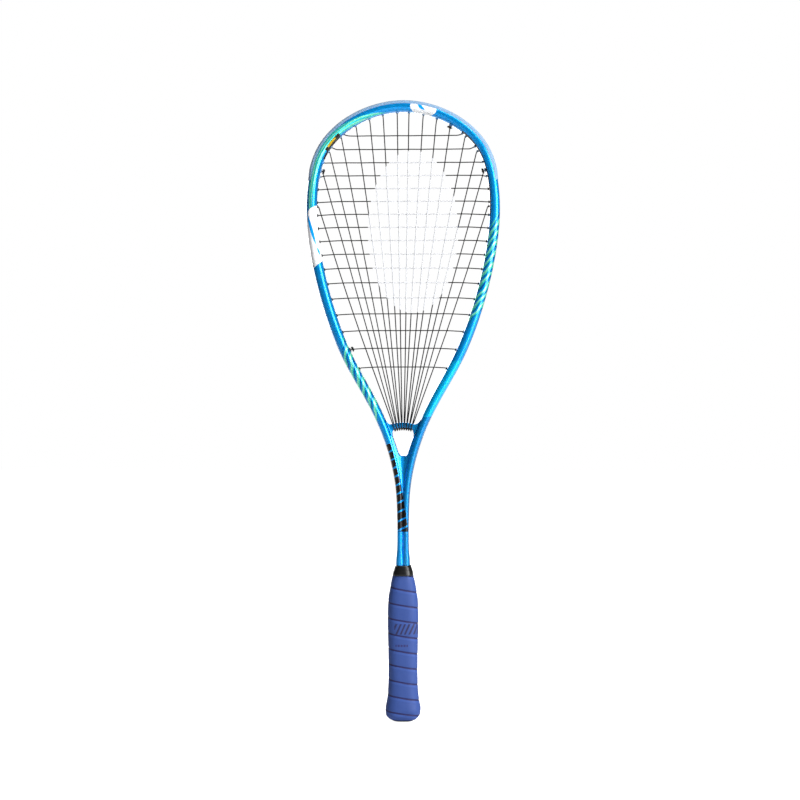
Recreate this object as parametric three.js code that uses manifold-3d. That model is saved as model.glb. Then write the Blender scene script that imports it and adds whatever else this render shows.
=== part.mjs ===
// A strung squash racket, upright on the end of its handle.
// X runs across the face, Y through it (the front faces -Y), Z along the racket. Millimetres.

import * as THREE from 'three';
import { mergeVertices } from 'three/addons/utils/BufferGeometryUtils.js';
import Module from 'manifold-3d';

const wasm = await Module();
wasm.setup();

// ---- Driving dimensions ----

const FIT = 0.3;                    // clearance between neighbouring pieces

// Centreline of the frame tube, from the shaft to the crown: [half width, height].
const SHAFT_TOP = 228;
const LEG_X = 3.2;
const CENTRELINE = [
  [LEG_X, SHAFT_TOP], [4.3, 256], [8.0, 281], [16.9, 313], [32.3, 348.5], [59.3, 398],
  [80.2, 450], [94.4, 504.5], [101.2, 560], [99.2, 597], [89.0, 630.5], [66.0, 656.6],
  [34.7, 673.1], [0, 679],
];
const BEAM_DEPTH = 20;
const SHAFT_DEPTH = 19;
const COLLAR_TOP = 172;
// Face width of the tube: [height, width]. The shaft flares out to sit on the collar.
const NECK_FACE_WIDTH = 6.9;
const FLARE_FOOT = COLLAR_TOP + FIT;
const FACE_WIDTH = [
  [FLARE_FOOT, NECK_FACE_WIDTH], [FLARE_FOOT + 0.1, 9.6], [179, 9.2], [188, 7.4],
  [198, NECK_FACE_WIDTH], [SHAFT_TOP, NECK_FACE_WIDTH],
  [311, 9.6], [400, 11.4], [560, 12], [600, 11.2], [680, 11.2],
];
const TUBE_WALL = 1;
const TUBE_END = 6;                 // where the legs stop, inside the butt
const TUBE_POWER = 2.6;             // roundness of the section, 2 for an ellipse
const SHAFT_POWER = 2.8;
const GROOVE_DEPTH = 2.9;           // channel for the strings on the outside of the hoop
const GROOVE_HALF_WIDTH = 3.4;
const GROOVE_START = 345;           // the channel fades in between these heights
const GROOVE_FULL = 370;

const BRIDGE_TOP = 329.9;
const BRIDGE_TOP_BEND = 1.9;        // the top edge falls by this from the middle to the limbs
const BRIDGE_UNDERSIDE = 323.6;
const UNDERSIDE_BEND = 0.016;       // the underside falls by this times x squared
const BRIDGE_HALF_DEPTH = 7;
const BRIDGE_REACH = 20;            // the yoke runs into the limbs as far as this
const BRIDGE_FOOT = 314;
const BRIDGE_SHOULDER = 3;          // width and height of the slopes at the top, against the limbs
const THROAT_TOP_HALF_WIDTH = 11.75;
const THROAT_CORNER = 10;           // where the underside turns down into the limbs
const THROAT_CORNER_HEIGHT = 320.5;
const THROAT_CORNER_BULGE = 0.2;
const WALL_FOOT_INSET = 0.8;        // the opening is narrower by this at the yoke's foot
const THROAT_BOTTOM = 293.4;
const THROAT_FLAT = 2.6;            // half width of the straight middle of the opening's foot
const THROAT_RADIUS = 5.2;
const WEB_HALF_DEPTH = 7;
const WEB_LAP = 0.9;                // the web runs this far into the legs beside the throat
const WEB_TOP_REACH = THROAT_FLAT + THROAT_RADIUS + WEB_LAP;
const WEB_EDGE = [[LEG_X, TUBE_END], [LEG_X, SHAFT_TOP], [5, 262], [WEB_TOP_REACH, 284]];
const SADDLE_THICKNESS = 0.8;
const SADDLE_REACH = 9.6;

const STRING_RADIUS = 0.6;
const STRING_PLANE = 0.75;          // mains lie this far behind the middle plane, crosses in front
const STRING_LANE = 1.55;           // lanes in the outer channel, mains behind, crosses in front
const LANE_TURN = 2.5;              // from a hole to where its string has reached the lane
const MAIN_PAIRS = 8;
const BRIDGE_PITCH = 2.46;          // between the wraps round the bridge
const MAIN_LEVELS = [540, 490, 440, 386];   // below the last, mains leave their plane for the bridge
const WRAP_RISE = 2;                // the wraps round the bridge begin this far above it
const OUTER_MAIN_BOW = 2.2;         // the outermost mains bend outwards by this
// Distances from the crown to the holes of the eight mains on one side, from the middle outwards.
const MAIN_HOLES = [7, 24, 40.5, 58.5, 80.5, 103, 127.5, 169];
const CROSSES = 17;
const CROSS_TOP = 647.3;
const CLOSEST_CROSS = 4;            // spacing is closest below this cross and grows either way
const CLOSEST_PITCH = 14.2;
const PITCH_GROWTH = 0.054;
// The top crosses turn up or down near the frame, to holes clear of the mains' holes.
const CROSS_HOLE_SHIFT = [-1.8, -2.4, 0.3, 1.4];
const CROSS_DROOP = 1.2;            // the others' holes are this much further down the frame
const CROSS_TURN = 4.5;
const CROSS_START_MAIN = 11;        // the cross string is tied at this main's hole
const KNOT_RADIUS = 1.8;
const TIE_SHIFT = 0.55;             // holes with a tied end are moved back by this

const BARREL_BORE = 1.1;
const BARREL_RADIUS = 1.6;
const TIE_BORE = 1.75;              // wider barrels, which hold a string and a tied end
const TIE_RADIUS = 2.3;
const BARREL_PROUD = 1;
const BARREL_LAP = 0.4;             // the barrels start this deep in their strip

const BUMPER_THICKNESS = 1.5;
const BUMPER_END = 596;             // the bumper covers the crown above this height
const CHANNEL_CHAMFER = 0.6;
const STRIP_THICKNESS = 0.8;
const STRIP_START = 1.5;            // gap along the frame between the bumper and the side strips
const STRIP_END = 375;              // the side strips run down to this height

const HANDLE_POWER = 3;
const GRIP_THICKNESS = 1.6;
const GRIP_TOP = 160.5;
// Outside of the wrapped handle above the butt, and of the butt itself: [height, half X, half Y].
const SLEEVE = [
  [128, 16.75, 15.25], [134, 16.4, 15.1], [145, 14.8, 14.3], [156, 12.7, 13.1],
  [GRIP_TOP, 11.7, 12.5],
];
const BUTT = [
  [2.5, 15, 13.8], [5, 17.6, 16.1], [9, 19.2, 17.6], [13, 19.6, 18], [18, 18.9, 17.3],
  [25, 17.6, 16], [34, 16.75, 15.25],
];
const CAP_END = [[0, 9.5, 8.8], [0.8, 11.7, 10.6], [2.2, 13, 11.8]];
const CAP_TOP = 26;
const CAP_WALL = 1.3;
const CAP_FLOOR = 4.7;
const PALLET_FOOT = 6;
const PALLET_TOP = GRIP_TOP - 0.8;
const STAPLE_WIRE = 0.8;
const STAPLE_CROWN = 8;
const STAPLE_HEIGHT = 21;
const STAPLE_LEG = 6;
const STAPLE_X = 15.65;
const TAPE_TOP = 166.5;
// Round the neck of the shaft: [height, allowance beyond its half width, and its half depth].
const GRIP_END = [[GRIP_TOP + 0.3, 2.6, 1.9], [TAPE_TOP - 0.5, 2.2, 1.7]];
const TAPE_OUTSIDE = [[162, 3.5, 3], [TAPE_TOP - 0.6, 3.3, 2.8]];
const TAPE_BORE = [[161, 3, 2.5], [TAPE_TOP, 2.85, 2.35]];
const COLLAR_POCKET = [[GRIP_TOP, 3.85, 3.4], [TAPE_TOP, 3.6, 3.2]];
const GRIP_OVER_PALLETS = 0.4;      // thickness of the grip's end above the pallets' space
const COLLAR = [
  [GRIP_TOP + 0.6, 11.4, 14.1], [165, 10.8, 13.6], [168.5, 9.6, 12.5], [COLLAR_TOP, 8.6, 11.4],
];

// ---- Solids ----

// A closed solid through a row of frames { at, u, v }, each with its own section of [u, v] points.
function loft(frames, sections) {
  const sides = sections[0].length;
  const positions = [];
  frames.forEach((frame, i) => {
    for (const [u, v] of sections[i]) {
      const point = frame.at.clone().addScaledVector(frame.u, u).addScaledVector(frame.v, v);
      positions.push(point.x, point.y, point.z);
    }
  });
  const index = [];
  for (let ring = 0; ring < frames.length - 1; ring++) {
    for (let side = 0; side < sides; side++) {
      const a = ring * sides + side;
      const b = ring * sides + (side + 1) % sides;
      index.push(a, b, b + sides, a, b + sides, a + sides);
    }
  }
  const last = (frames.length - 1) * sides;
  const outline = (section) => section.map(([u, v]) => new THREE.Vector2(u, v));
  for (const [a, b, c] of THREE.ShapeUtils.triangulateShape(outline(sections[0]), [])) {
    index.push(c, b, a);
  }
  for (const [a, b, c] of THREE.ShapeUtils.triangulateShape(outline(sections.at(-1)), [])) {
    index.push(last + a, last + b, last + c);
  }
  const geometry = new THREE.BufferGeometry();
  geometry.setAttribute('position', new THREE.Float32BufferAttribute(positions, 3));
  geometry.setIndex(index);
  return geometry;
}

function solid(geometry) {
  const bare = geometry.clone();
  bare.deleteAttribute('normal');
  bare.deleteAttribute('uv');
  const merged = mergeVertices(bare, 1e-4);
  return new wasm.Manifold(new wasm.Mesh({
    numProp: 3,
    vertProperties: new Float32Array(merged.attributes.position.array),
    triVerts: new Uint32Array(merged.index.array),
  }));
}

function geometryOf(body) {
  const mesh = body.getMesh();
  const geometry = new THREE.BufferGeometry();
  geometry.setAttribute('position', new THREE.BufferAttribute(mesh.vertProperties, 3));
  geometry.setIndex(new THREE.BufferAttribute(mesh.triVerts, 1));
  return geometry;
}

const union = (bodies) => bodies.reduce((sum, body) => sum.add(body));

function slab(width, depth, height, x, y, z) {
  return solid(new THREE.BoxGeometry(width, depth, height).translate(x, y, z));
}

// ---- Curves and sections ----

const lerp = THREE.MathUtils.lerp;

// Straight-line reading of a table of [key, value] rows.
function readTable(table, key) {
  if (key <= table[0][0]) return table[0][1];
  const next = table.findIndex((row) => row[0] >= key);
  if (next < 0) return table.at(-1)[1];
  const [lowKey, low] = table[next - 1];
  const [highKey, high] = table[next];
  return lerp(low, high, (key - lowKey) / (highKey - lowKey));
}

// Smooth cubic through the values at the knots, with the given slopes at its two ends.
function cubicSpline(knots, values, startSlope, endSlope) {
  const last = knots.length - 1;
  const step = knots.slice(1).map((knot, i) => knot - knots[i]);
  const slope = step.map((h, i) => (values[i + 1] - values[i]) / h);
  const diagonal = [1];
  const right = [startSlope];
  const upper = [0];
  for (let i = 1; i < last; i++) {
    const below = step[i];
    const above = step[i - 1];
    const factor = below / diagonal[i - 1];
    diagonal.push(2 * (below + above) - factor * upper[i - 1]);
    right.push(3 * (below * slope[i - 1] + above * slope[i]) - factor * right[i - 1]);
    upper.push(above);
  }
  const tangent = new Array(last + 1);
  tangent[last] = endSlope;
  for (let i = last - 1; i >= 0; i--) {
    tangent[i] = (right[i] - upper[i] * tangent[i + 1]) / diagonal[i];
  }
  return (key) => {
    const next = knots.findIndex((knot) => knot > key);
    const i = next < 0 ? last - 1 : Math.max(0, next - 1);
    const t = (key - knots[i]) / step[i];
    const t2 = t * t;
    const t3 = t2 * t;
    return (2 * t3 - 3 * t2 + 1) * values[i] + (t3 - 2 * t2 + t) * step[i] * tangent[i]
      + (3 * t2 - 2 * t3) * values[i + 1] + (t3 - t2) * step[i] * tangent[i + 1];
  };
}

// Stations of the right half of the tube, from the crown (distance 0) down to the shaft.
const CROWN_SPANS = 5;
const STEPS_AT_CROWN = 3;
const STEPS_ON_LIMBS = 2;

function halfStations() {
  const points = CENTRELINE.map(([x, z]) => new THREE.Vector2(x, z)).reverse();
  const knots = [0];
  for (let i = 1; i < points.length; i++) {
    knots.push(knots[i - 1] + points[i].distanceTo(points[i - 1]));
  }
  const x = cubicSpline(knots, points.map((point) => point.x), 1, 0);
  const z = cubicSpline(knots, points.map((point) => point.y), 0, -1);
  const keys = [];
  for (let i = 0; i < knots.length - 1; i++) {
    const steps = i < CROWN_SPANS ? STEPS_AT_CROWN : STEPS_ON_LIMBS;
    for (let k = 0; k < steps; k++) {
      keys.push(lerp(knots[i], knots[i + 1], k / steps));
    }
  }
  keys.push(knots.at(-1));
  const small = 0.01;
  let distance = 0;
  return keys.map((key, i) => {
    const at = new THREE.Vector3(x(key), 0, z(key));
    const ahead = Math.min(key + small, knots.at(-1));
    const behind = Math.max(key - small, 0);
    const along = new THREE.Vector3(x(ahead) - x(behind), 0, z(ahead) - z(behind)).normalize();
    if (i === 0) {
      along.set(1, 0, 0);
    } else {
      distance += at.distanceTo(new THREE.Vector3(x(keys[i - 1]), 0, z(keys[i - 1])));
    }
    return { distance, at, inward: new THREE.Vector3(along.z, 0, -along.x) };
  });
}

const STATIONS = halfStations();
const HALF_LENGTH = STATIONS.at(-1).distance;

// The tube's middle at a signed distance from the crown, positive on the right-hand side.
function tubeAt(distance) {
  const reach = Math.abs(distance);
  const side = Math.sign(distance) || 1;
  const next = Math.max(1, STATIONS.findIndex((station) => station.distance >= reach));
  const a = STATIONS[next - 1];
  const b = STATIONS[next];
  const t = (reach - a.distance) / (b.distance - a.distance);
  const at = a.at.clone().lerp(b.at, t);
  const inward = a.inward.clone().lerp(b.inward, t).normalize();
  return {
    at: at.setX(at.x * side),
    u: inward.setX(inward.x * side),
    v: new THREE.Vector3(0, 1, 0),
    width: readTable(FACE_WIDTH, at.z),
  };
}

// Signed distances from one place to another, with every station between them.
function distancesBetween(from, to) {
  const low = Math.min(from, to);
  const high = Math.max(from, to);
  const all = STATIONS.flatMap(({ distance }) => [distance, -distance]);
  const between = [...new Set(all)].filter((distance) => distance > low && distance < high);
  const row = [low, ...between.sort((a, b) => a - b), high];
  return from < to ? row : row.reverse();
}

// Distance from the crown at which the inner face of the tube, raised by `proud`, is at a height.
function distanceAtHeight(height, proud = 0) {
  const innerHeight = (distance) => {
    const frame = tubeAt(distance);
    return frame.at.z + frame.u.z * (frame.width / 2 + proud);
  };
  let low = 0;
  let high = HALF_LENGTH;
  for (let i = 0; i < 40; i++) {
    const middle = (low + high) / 2;
    if (innerHeight(middle) > height) {
      low = middle;
    } else {
      high = middle;
    }
  }
  return low;
}

// Points of a superellipse from one angle to another, in degrees.
function roundedSection(halfWidth, halfDepth, power, from, to, step) {
  const points = [];
  for (let angle = from; angle <= to + 1e-6; angle += step) {
    const c = Math.cos(THREE.MathUtils.degToRad(angle));
    const s = Math.sin(THREE.MathUtils.degToRad(angle));
    points.push([
      halfWidth * Math.sign(c) * Math.abs(c) ** (2 / power),
      halfDepth * Math.sign(s) * Math.abs(s) ** (2 / power),
    ]);
  }
  return points;
}

function beamShape(frame) {
  const onShaft = THREE.MathUtils.smoothstep(frame.at.z, SHAFT_TOP, BRIDGE_TOP);
  const inChannel = THREE.MathUtils.smoothstep(frame.at.z, GROOVE_START, GROOVE_FULL);
  return {
    halfDepth: lerp(SHAFT_DEPTH, BEAM_DEPTH, onShaft) / 2,
    power: lerp(SHAFT_POWER, TUBE_POWER, onShaft),
    groove: GROOVE_DEPTH * inChannel,
  };
}

// How far out the groove's lips are, as a reach towards the strings, so below 0.
function lipDepth(frame) {
  const { halfDepth, power } = beamShape(frame);
  return -frame.width / 2 * (1 - (GROOVE_HALF_WIDTH / halfDepth) ** power) ** (1 / power);
}

// Outside of the tube: rounded, with the string channel in the side away from the strings.
function outerSection(frame, grow = 0) {
  const { halfDepth, power, groove } = beamShape(frame);
  const halfWidth = frame.width / 2;
  const lip = lipDepth(frame);
  const floor = grow > 0 ? lip : lip + groove;
  return [
    ...roundedSection(halfWidth + grow, halfDepth + grow, power, -150, 150, 30),
    [lip - grow, GROOVE_HALF_WIDTH],
    [floor - grow, GROOVE_HALF_WIDTH],
    [floor - grow, -GROOVE_HALF_WIDTH],
    [lip - grow, -GROOVE_HALF_WIDTH],
  ];
}

function innerSection(frame) {
  const { halfDepth, power, groove } = beamShape(frame);
  const shift = groove / 2;
  const halfWidth = frame.width / 2 - TUBE_WALL - shift;
  return roundedSection(halfWidth, halfDepth - TUBE_WALL, power, -180, 135, 45)
    .map(([u, v]) => [u + shift, v]);
}

// One half of the hairpin, from the end of its leg to the crown.
function halfTube(side, section, endHeight) {
  const legHeights = FACE_WIDTH.map(([height]) => height).filter((height) => height < SHAFT_TOP);
  const leg = [endHeight, ...legHeights].map((height) => {
    const frame = tubeAt(side * HALF_LENGTH);
    frame.at.z = height;
    return { ...frame, width: readTable(FACE_WIDTH, height) };
  });
  const hoop = distancesBetween(side * HALF_LENGTH, 0).map(tubeAt);
  const frames = [...leg, ...hoop];
  if (side > 0) frames.reverse();
  return solid(loft(frames, frames.map((frame) => section(frame))));
}

// ---- Where the strings go ----

const PROUD_MOUTH = BARREL_PROUD + STRING_RADIUS;

const crossHeights = [CROSS_TOP];
for (let i = 0; i < CROSSES - 1; i++) {
  crossHeights.push(crossHeights[i] - CLOSEST_PITCH - PITCH_GROWTH * (i - CLOSEST_CROSS) ** 2);
}

const mainHole = (main) => {
  const place = main < MAIN_PAIRS ? MAIN_PAIRS - 1 - main : main - MAIN_PAIRS;
  return MAIN_HOLES[place] * (main < MAIN_PAIRS ? -1 : 1);
};
const crossHole = (cross, side) => {
  const level = distanceAtHeight(crossHeights[cross], PROUD_MOUTH);
  return side * (level + (CROSS_HOLE_SHIFT[cross] ?? CROSS_DROOP));
};
const bridgeX = (pair) => (pair - (MAIN_PAIRS - 1) / 2) * BRIDGE_PITCH;

// A string's turns at a hole: on the inner side, and in the channel outside.
function mouth(distance, y) {
  const frame = tubeAt(distance);
  return frame.at.clone().addScaledVector(frame.u, frame.width / 2 + PROUD_MOUTH).setY(y);
}

function channelPoint(distance, y) {
  const frame = tubeAt(distance);
  const depth = FIT + STRING_RADIUS;
  return frame.at.clone().addScaledVector(frame.u, depth - frame.width / 2).setY(y);
}

// Out through one hole, along the channel in a lane, and in through the next hole.
function loopOutside(from, fromY, to, toY, lane) {
  const side = Math.sign(to - from);
  const start = from + side * LANE_TURN;
  const end = to - side * LANE_TURN;
  return [
    mouth(from, fromY),
    channelPoint(from, fromY),
    ...distancesBetween(start, end).map((distance) => channelPoint(distance, lane)),
    channelPoint(to, toY),
    mouth(to, toY),
  ];
}

// Solid cord along a row of points, with mitred corners.
const CORD_SIDES = 5;

function cord(points) {
  const directions = points.slice(1).map((point, i) => point.clone().sub(points[i]).normalize());
  const seed = Math.abs(directions[0].y) < 0.9 ? new THREE.Vector3(0, 1, 0) : new THREE.Vector3(1, 0, 0);
  const v = seed.clone().addScaledVector(directions[0], -seed.dot(directions[0])).normalize();
  const u = v.clone().cross(directions[0]);
  let offsets = roundedSection(STRING_RADIUS, STRING_RADIUS, 2, 0, 359, 360 / CORD_SIDES)
    .map(([a, b]) => u.clone().multiplyScalar(a).addScaledVector(v, b));
  const frames = [];
  const sections = [];
  points.forEach((at, i) => {
    const before = directions[Math.max(0, i - 1)];
    const after = directions[Math.min(i, directions.length - 1)];
    const plane = before.clone().add(after).normalize();
    const slide = before.dot(plane);
    offsets = offsets.map((p) => p.clone().addScaledVector(before, -p.dot(plane) / slide));
    // The ring is given in a frame of its own: the section holds plain offsets along u and v.
    const axisU = offsets[0].clone().normalize();
    const axisV = plane.clone().cross(axisU);
    frames.push({ at, u: axisU, v: axisV });
    sections.push(offsets.map((p) => [p.dot(axisU), p.dot(axisV)]));
    offsets = offsets.map((p) => p.clone().addScaledVector(after, -p.dot(after)));
  });
  return solid(loft(frames, sections));
}

// A tied end, drawn up against the grommet at a hole.
function knot(distance, y) {
  const frame = tubeAt(distance);
  const reach = frame.width / 2 + BARREL_PROUD + FIT + KNOT_RADIUS;
  const at = frame.at.clone().addScaledVector(frame.u, reach);
  return solid(new THREE.SphereGeometry(KNOT_RADIUS, 8, 6).translate(at.x, y, at.z));
}

const TIED_MAIN = TIE_SHIFT + STRING_PLANE;
const TIED_TAIL = TIE_SHIFT - STRING_PLANE;
const LAST_MAIN = 2 * MAIN_PAIRS - 1;

const bridgeUnderside = (x) => BRIDGE_UNDERSIDE - x * x * UNDERSIDE_BEND;

// Where a main passes a height, on its way from the bridge's underside to its hole.
function mainAt(main, y, height) {
  const foot = bridgeX(Math.floor(main / 2));
  const top = mouth(mainHole(main), STRING_PLANE);
  const low = bridgeUnderside(foot) - SADDLE_THICKNESS;
  const share = (height - low) / (top.z - low);
  const bow = main === 0 || main === LAST_MAIN ? OUTER_MAIN_BOW * Math.sin(Math.PI * share) : 0;
  return new THREE.Vector3(lerp(foot, top.x, share) + Math.sign(top.x) * bow, y, height);
}

// Down one main, round the bridge from front to back and up the next one.
function pairOfMains(pair) {
  const x = bridgeX(pair);
  const underside = bridgeUnderside(x) - SADDLE_THICKNESS - 2 * FIT - STRING_RADIUS;
  const out = BRIDGE_HALF_DEPTH + FIT + STRING_RADIUS;
  const above = BRIDGE_TOP + WRAP_RISE;
  const levels = pair === 0 || pair === MAIN_PAIRS - 1 ? MAIN_LEVELS : MAIN_LEVELS.slice(-1);
  const down = levels.map((height) => mainAt(2 * pair, STRING_PLANE, height));
  const up = levels.map((height) => mainAt(2 * pair + 1, STRING_PLANE, height)).reverse();
  return [
    ...down,
    mainAt(2 * pair, -out, above),
    new THREE.Vector3(x, -out, underside),
    new THREE.Vector3(x, out, underside),
    mainAt(2 * pair + 1, out, above),
    ...up,
  ];
}

function mainString() {
  const yAt = (main) => (main === 1 || main === LAST_MAIN - 1 ? TIED_MAIN : STRING_PLANE);
  const route = loopOutside(mainHole(1), TIED_TAIL, mainHole(0), STRING_PLANE, STRING_LANE);
  for (let pair = 0; pair < MAIN_PAIRS; pair++) {
    route.push(...pairOfMains(pair));
    const up = 2 * pair + 1;
    if (up < LAST_MAIN) {
      const next = up + 1;
      route.push(...loopOutside(mainHole(up), yAt(up), mainHole(next), yAt(next), STRING_LANE));
    }
  }
  const tie = mainHole(LAST_MAIN - 1);
  route.push(...loopOutside(mainHole(LAST_MAIN), STRING_PLANE, tie, TIED_TAIL, STRING_LANE));
  return union([cord(route), knot(mainHole(1), TIED_TAIL), knot(tie, TIED_TAIL)]);
}

function crossString() {
  const plane = -STRING_PLANE;
  const start = mainHole(CROSS_START_MAIN);
  const lastLeft = crossHole(CROSSES - 1, -1);
  const tieLeft = crossHole(CROSSES - 2, -1);
  const turnPoint = (cross, side) => {
    const end = mouth(crossHole(cross, side), plane);
    return new THREE.Vector3(end.x - side * CROSS_TURN, plane, crossHeights[cross]);
  };
  const route = loopOutside(start, plane, crossHole(0, 1), plane, -STRING_LANE);
  for (let cross = 0; cross < CROSSES; cross++) {
    const side = cross % 2 ? 1 : -1;
    route.push(turnPoint(cross, -side), turnPoint(cross, side));
    if (cross < CROSSES - 1) {
      const next = crossHole(cross + 1, side);
      route.push(...loopOutside(crossHole(cross, side), plane, next, plane, -STRING_LANE));
    }
  }
  route.push(...loopOutside(lastLeft, plane, tieLeft, STRING_PLANE, -STRING_LANE));
  const clearOfMain = STRING_RADIUS - STRING_PLANE - KNOT_RADIUS;
  return union([cord(route), knot(start, clearOfMain), knot(tieLeft, STRING_PLANE)]);
}

// ---- Holes and grommets ----

// Every hole: { distance, y, tie }.
function stringHoles() {
  const holes = [];
  for (let main = 0; main <= LAST_MAIN; main++) {
    const outerTie = main === 1 || main === LAST_MAIN - 1;
    const crossTie = main === CROSS_START_MAIN;
    const y = outerTie ? TIE_SHIFT : crossTie ? 0 : STRING_PLANE;
    holes.push({ distance: mainHole(main), y, tie: outerTie || crossTie });
  }
  for (let cross = 0; cross < CROSSES; cross++) {
    for (const side of [-1, 1]) {
      const tie = cross === CROSSES - 2 && side < 0;
      holes.push({ distance: crossHole(cross, side), y: tie ? 0 : -STRING_PLANE, tie });
    }
  }
  return holes;
}

const HEXAGON = 60;                 // degrees from corner to corner of a rod's section
const SQUARE = 90;

// A straight rod through the tube's wall at a hole, between two depths measured from its middle.
function rodThrough(hole, radius, from, to, step = HEXAGON) {
  const frame = tubeAt(hole.distance);
  const section = roundedSection(radius, radius, 2, step / 2, 359, step);
  const along = frame.u.clone();
  const across = new THREE.Vector3(0, 1, 0).cross(along);
  const ends = [from, to].map((depth) => ({
    at: frame.at.clone().addScaledVector(along, depth).setY(hole.y),
    u: across,
    v: new THREE.Vector3(0, 1, 0),
  }));
  if (across.clone().cross(ends[0].v).dot(along) < 0) ends.reverse();
  return solid(loft(ends, [section, section]));
}

const inRange = (hole, from, to) => hole.distance > from && hole.distance < to;

function strip(from, to, section) {
  const frames = distancesBetween(from, to).map(tubeAt);
  return solid(loft(frames, frames.map(section)));
}

function withBarrels(body, from, to) {
  const holes = stringHoles().filter((hole) => inRange(hole, from, to));
  let result = body;
  for (const hole of holes) {
    const { width } = tubeAt(hole.distance);
    const foot = GROOVE_DEPTH - FIT - BARREL_LAP - width / 2;
    const radius = hole.tie ? TIE_RADIUS : BARREL_RADIUS;
    result = result.add(rodThrough(hole, radius, foot, width / 2 + BARREL_PROUD));
  }
  for (const hole of holes) {
    const { width } = tubeAt(hole.distance);
    const bore = hole.tie ? TIE_BORE : BARREL_BORE;
    result = result.subtract(rodThrough(hole, bore, -width, width));
  }
  return result;
}

function stripSection(frame) {
  const floor = lipDepth(frame) + GROOVE_DEPTH - FIT;
  const low = floor - STRIP_THICKNESS;
  const edge = GROOVE_HALF_WIDTH - FIT;
  return [[floor, -edge], [floor, edge], [low, edge], [low, -edge]];
}

// The bumper's channel over the crown: a strip in the groove with a lip round both edges.
function bumperSection(frame) {
  const { halfDepth, power } = beamShape(frame);
  const lip = lipDepth(frame);
  const floor = lip + GROOVE_DEPTH - FIT;
  const edge = GROOVE_HALF_WIDTH - FIT;
  const shoulder = (grow) => {
    return roundedSection(frame.width / 2 + grow, halfDepth + grow, power, 120, 150, 30);
  };
  const back = [
    [floor, edge],
    [lip - FIT, edge],
    ...shoulder(FIT).reverse(),
    ...shoulder(BUMPER_THICKNESS),
    [lip - BUMPER_THICKNESS, edge],
    [floor - STRIP_THICKNESS, edge - CHANNEL_CHAMFER],
  ];
  const front = back.map(([u, v]) => [u, -v]).reverse();
  return [...back, ...front];
}

const bumperReach = distanceAtHeight(BUMPER_END);
const stripReach = distanceAtHeight(STRIP_END);

function bumperGuard() {
  return withBarrels(strip(-bumperReach, bumperReach, bumperSection), -bumperReach, bumperReach);
}

function grommetStrip(side) {
  const from = bumperReach + STRIP_START;
  const ends = side > 0 ? [from, stripReach] : [-stripReach, -from];
  return withBarrels(strip(...ends, stripSection), ...ends);
}

// ---- Frame ----

const flatShape = (shape, halfDepth, bevel) => {
  const geometry = new THREE.ExtrudeGeometry(shape, {
    depth: 2 * (halfDepth - bevel),
    bevelEnabled: bevel > 0,
    bevelSize: bevel,
    bevelOffset: -bevel,
    bevelThickness: bevel,
    bevelSegments: 1,
    curveSegments: 6,
  });
  geometry.translate(0, 0, -(halfDepth - bevel));
  return solid(geometry.rotateX(Math.PI / 2));
};

// The panel that joins the two legs below the throat opening, and fills the groove of the shaft.
function throatWeb() {
  const top = THROAT_BOTTOM + THROAT_RADIUS;
  const edge = [...WEB_EDGE, [WEB_TOP_REACH, top]];
  const shape = new THREE.Shape();
  shape.moveTo(-LEG_X, TUBE_END);
  edge.forEach(([x, z]) => shape.lineTo(x, z));
  shape.lineTo(THROAT_FLAT + THROAT_RADIUS, top);
  shape.absarc(THROAT_FLAT, top, THROAT_RADIUS, 0, -Math.PI / 2, true);
  shape.absarc(-THROAT_FLAT, top, THROAT_RADIUS, -Math.PI / 2, -Math.PI, true);
  edge.slice(1).reverse().forEach(([x, z]) => shape.lineTo(-x, z));
  return flatShape(shape, WEB_HALF_DEPTH, 0);
}

function frameTube() {
  const outside = union([halfTube(-1, outerSection, TUBE_END), halfTube(1, outerSection, TUBE_END)]);
  const bottom = TUBE_END - 1;
  const inside = union([halfTube(-1, innerSection, bottom), halfTube(1, innerSection, bottom)]);
  let body = outside.add(throatWeb()).subtract(inside);
  for (const hole of stringHoles()) {
    const halfSide = (hole.tie ? TIE_RADIUS : BARREL_RADIUS) + FIT;
    const rod = rodThrough(hole, halfSide * Math.SQRT2, -BEAM_DEPTH / 2, BEAM_DEPTH / 2, SQUARE);
    body = body.subtract(rod);
  }
  return body;
}

// The bonded yoke that closes the bottom of the hoop.
function throatBridge() {
  const shoulder = BRIDGE_TOP - BRIDGE_TOP_BEND;
  const low = bridgeUnderside(THROAT_CORNER);
  const wallFoot = THROAT_TOP_HALF_WIDTH - WALL_FOOT_INSET;
  const corner = THROAT_TOP_HALF_WIDTH + THROAT_CORNER_BULGE;
  const shape = new THREE.Shape();
  shape.moveTo(-BRIDGE_REACH, shoulder + BRIDGE_SHOULDER);
  shape.lineTo(-BRIDGE_REACH + BRIDGE_SHOULDER, shoulder);
  shape.quadraticCurveTo(0, BRIDGE_TOP + BRIDGE_TOP_BEND, BRIDGE_REACH - BRIDGE_SHOULDER, shoulder);
  shape.lineTo(BRIDGE_REACH, shoulder + BRIDGE_SHOULDER);
  shape.lineTo(BRIDGE_REACH, BRIDGE_FOOT);
  shape.lineTo(wallFoot, BRIDGE_FOOT);
  shape.quadraticCurveTo(corner, THROAT_CORNER_HEIGHT, THROAT_CORNER, low);
  shape.quadraticCurveTo(0, 2 * BRIDGE_UNDERSIDE - low, -THROAT_CORNER, low);
  shape.quadraticCurveTo(-corner, THROAT_CORNER_HEIGHT, -wallFoot, BRIDGE_FOOT);
  shape.lineTo(-BRIDGE_REACH, BRIDGE_FOOT);
  const grown = (frame) => outerSection(frame, FIT);
  return flatShape(shape, BRIDGE_HALF_DEPTH, 1)
    .subtract(halfTube(-1, grown, TUBE_END))
    .subtract(halfTube(1, grown, TUBE_END));
}

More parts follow.
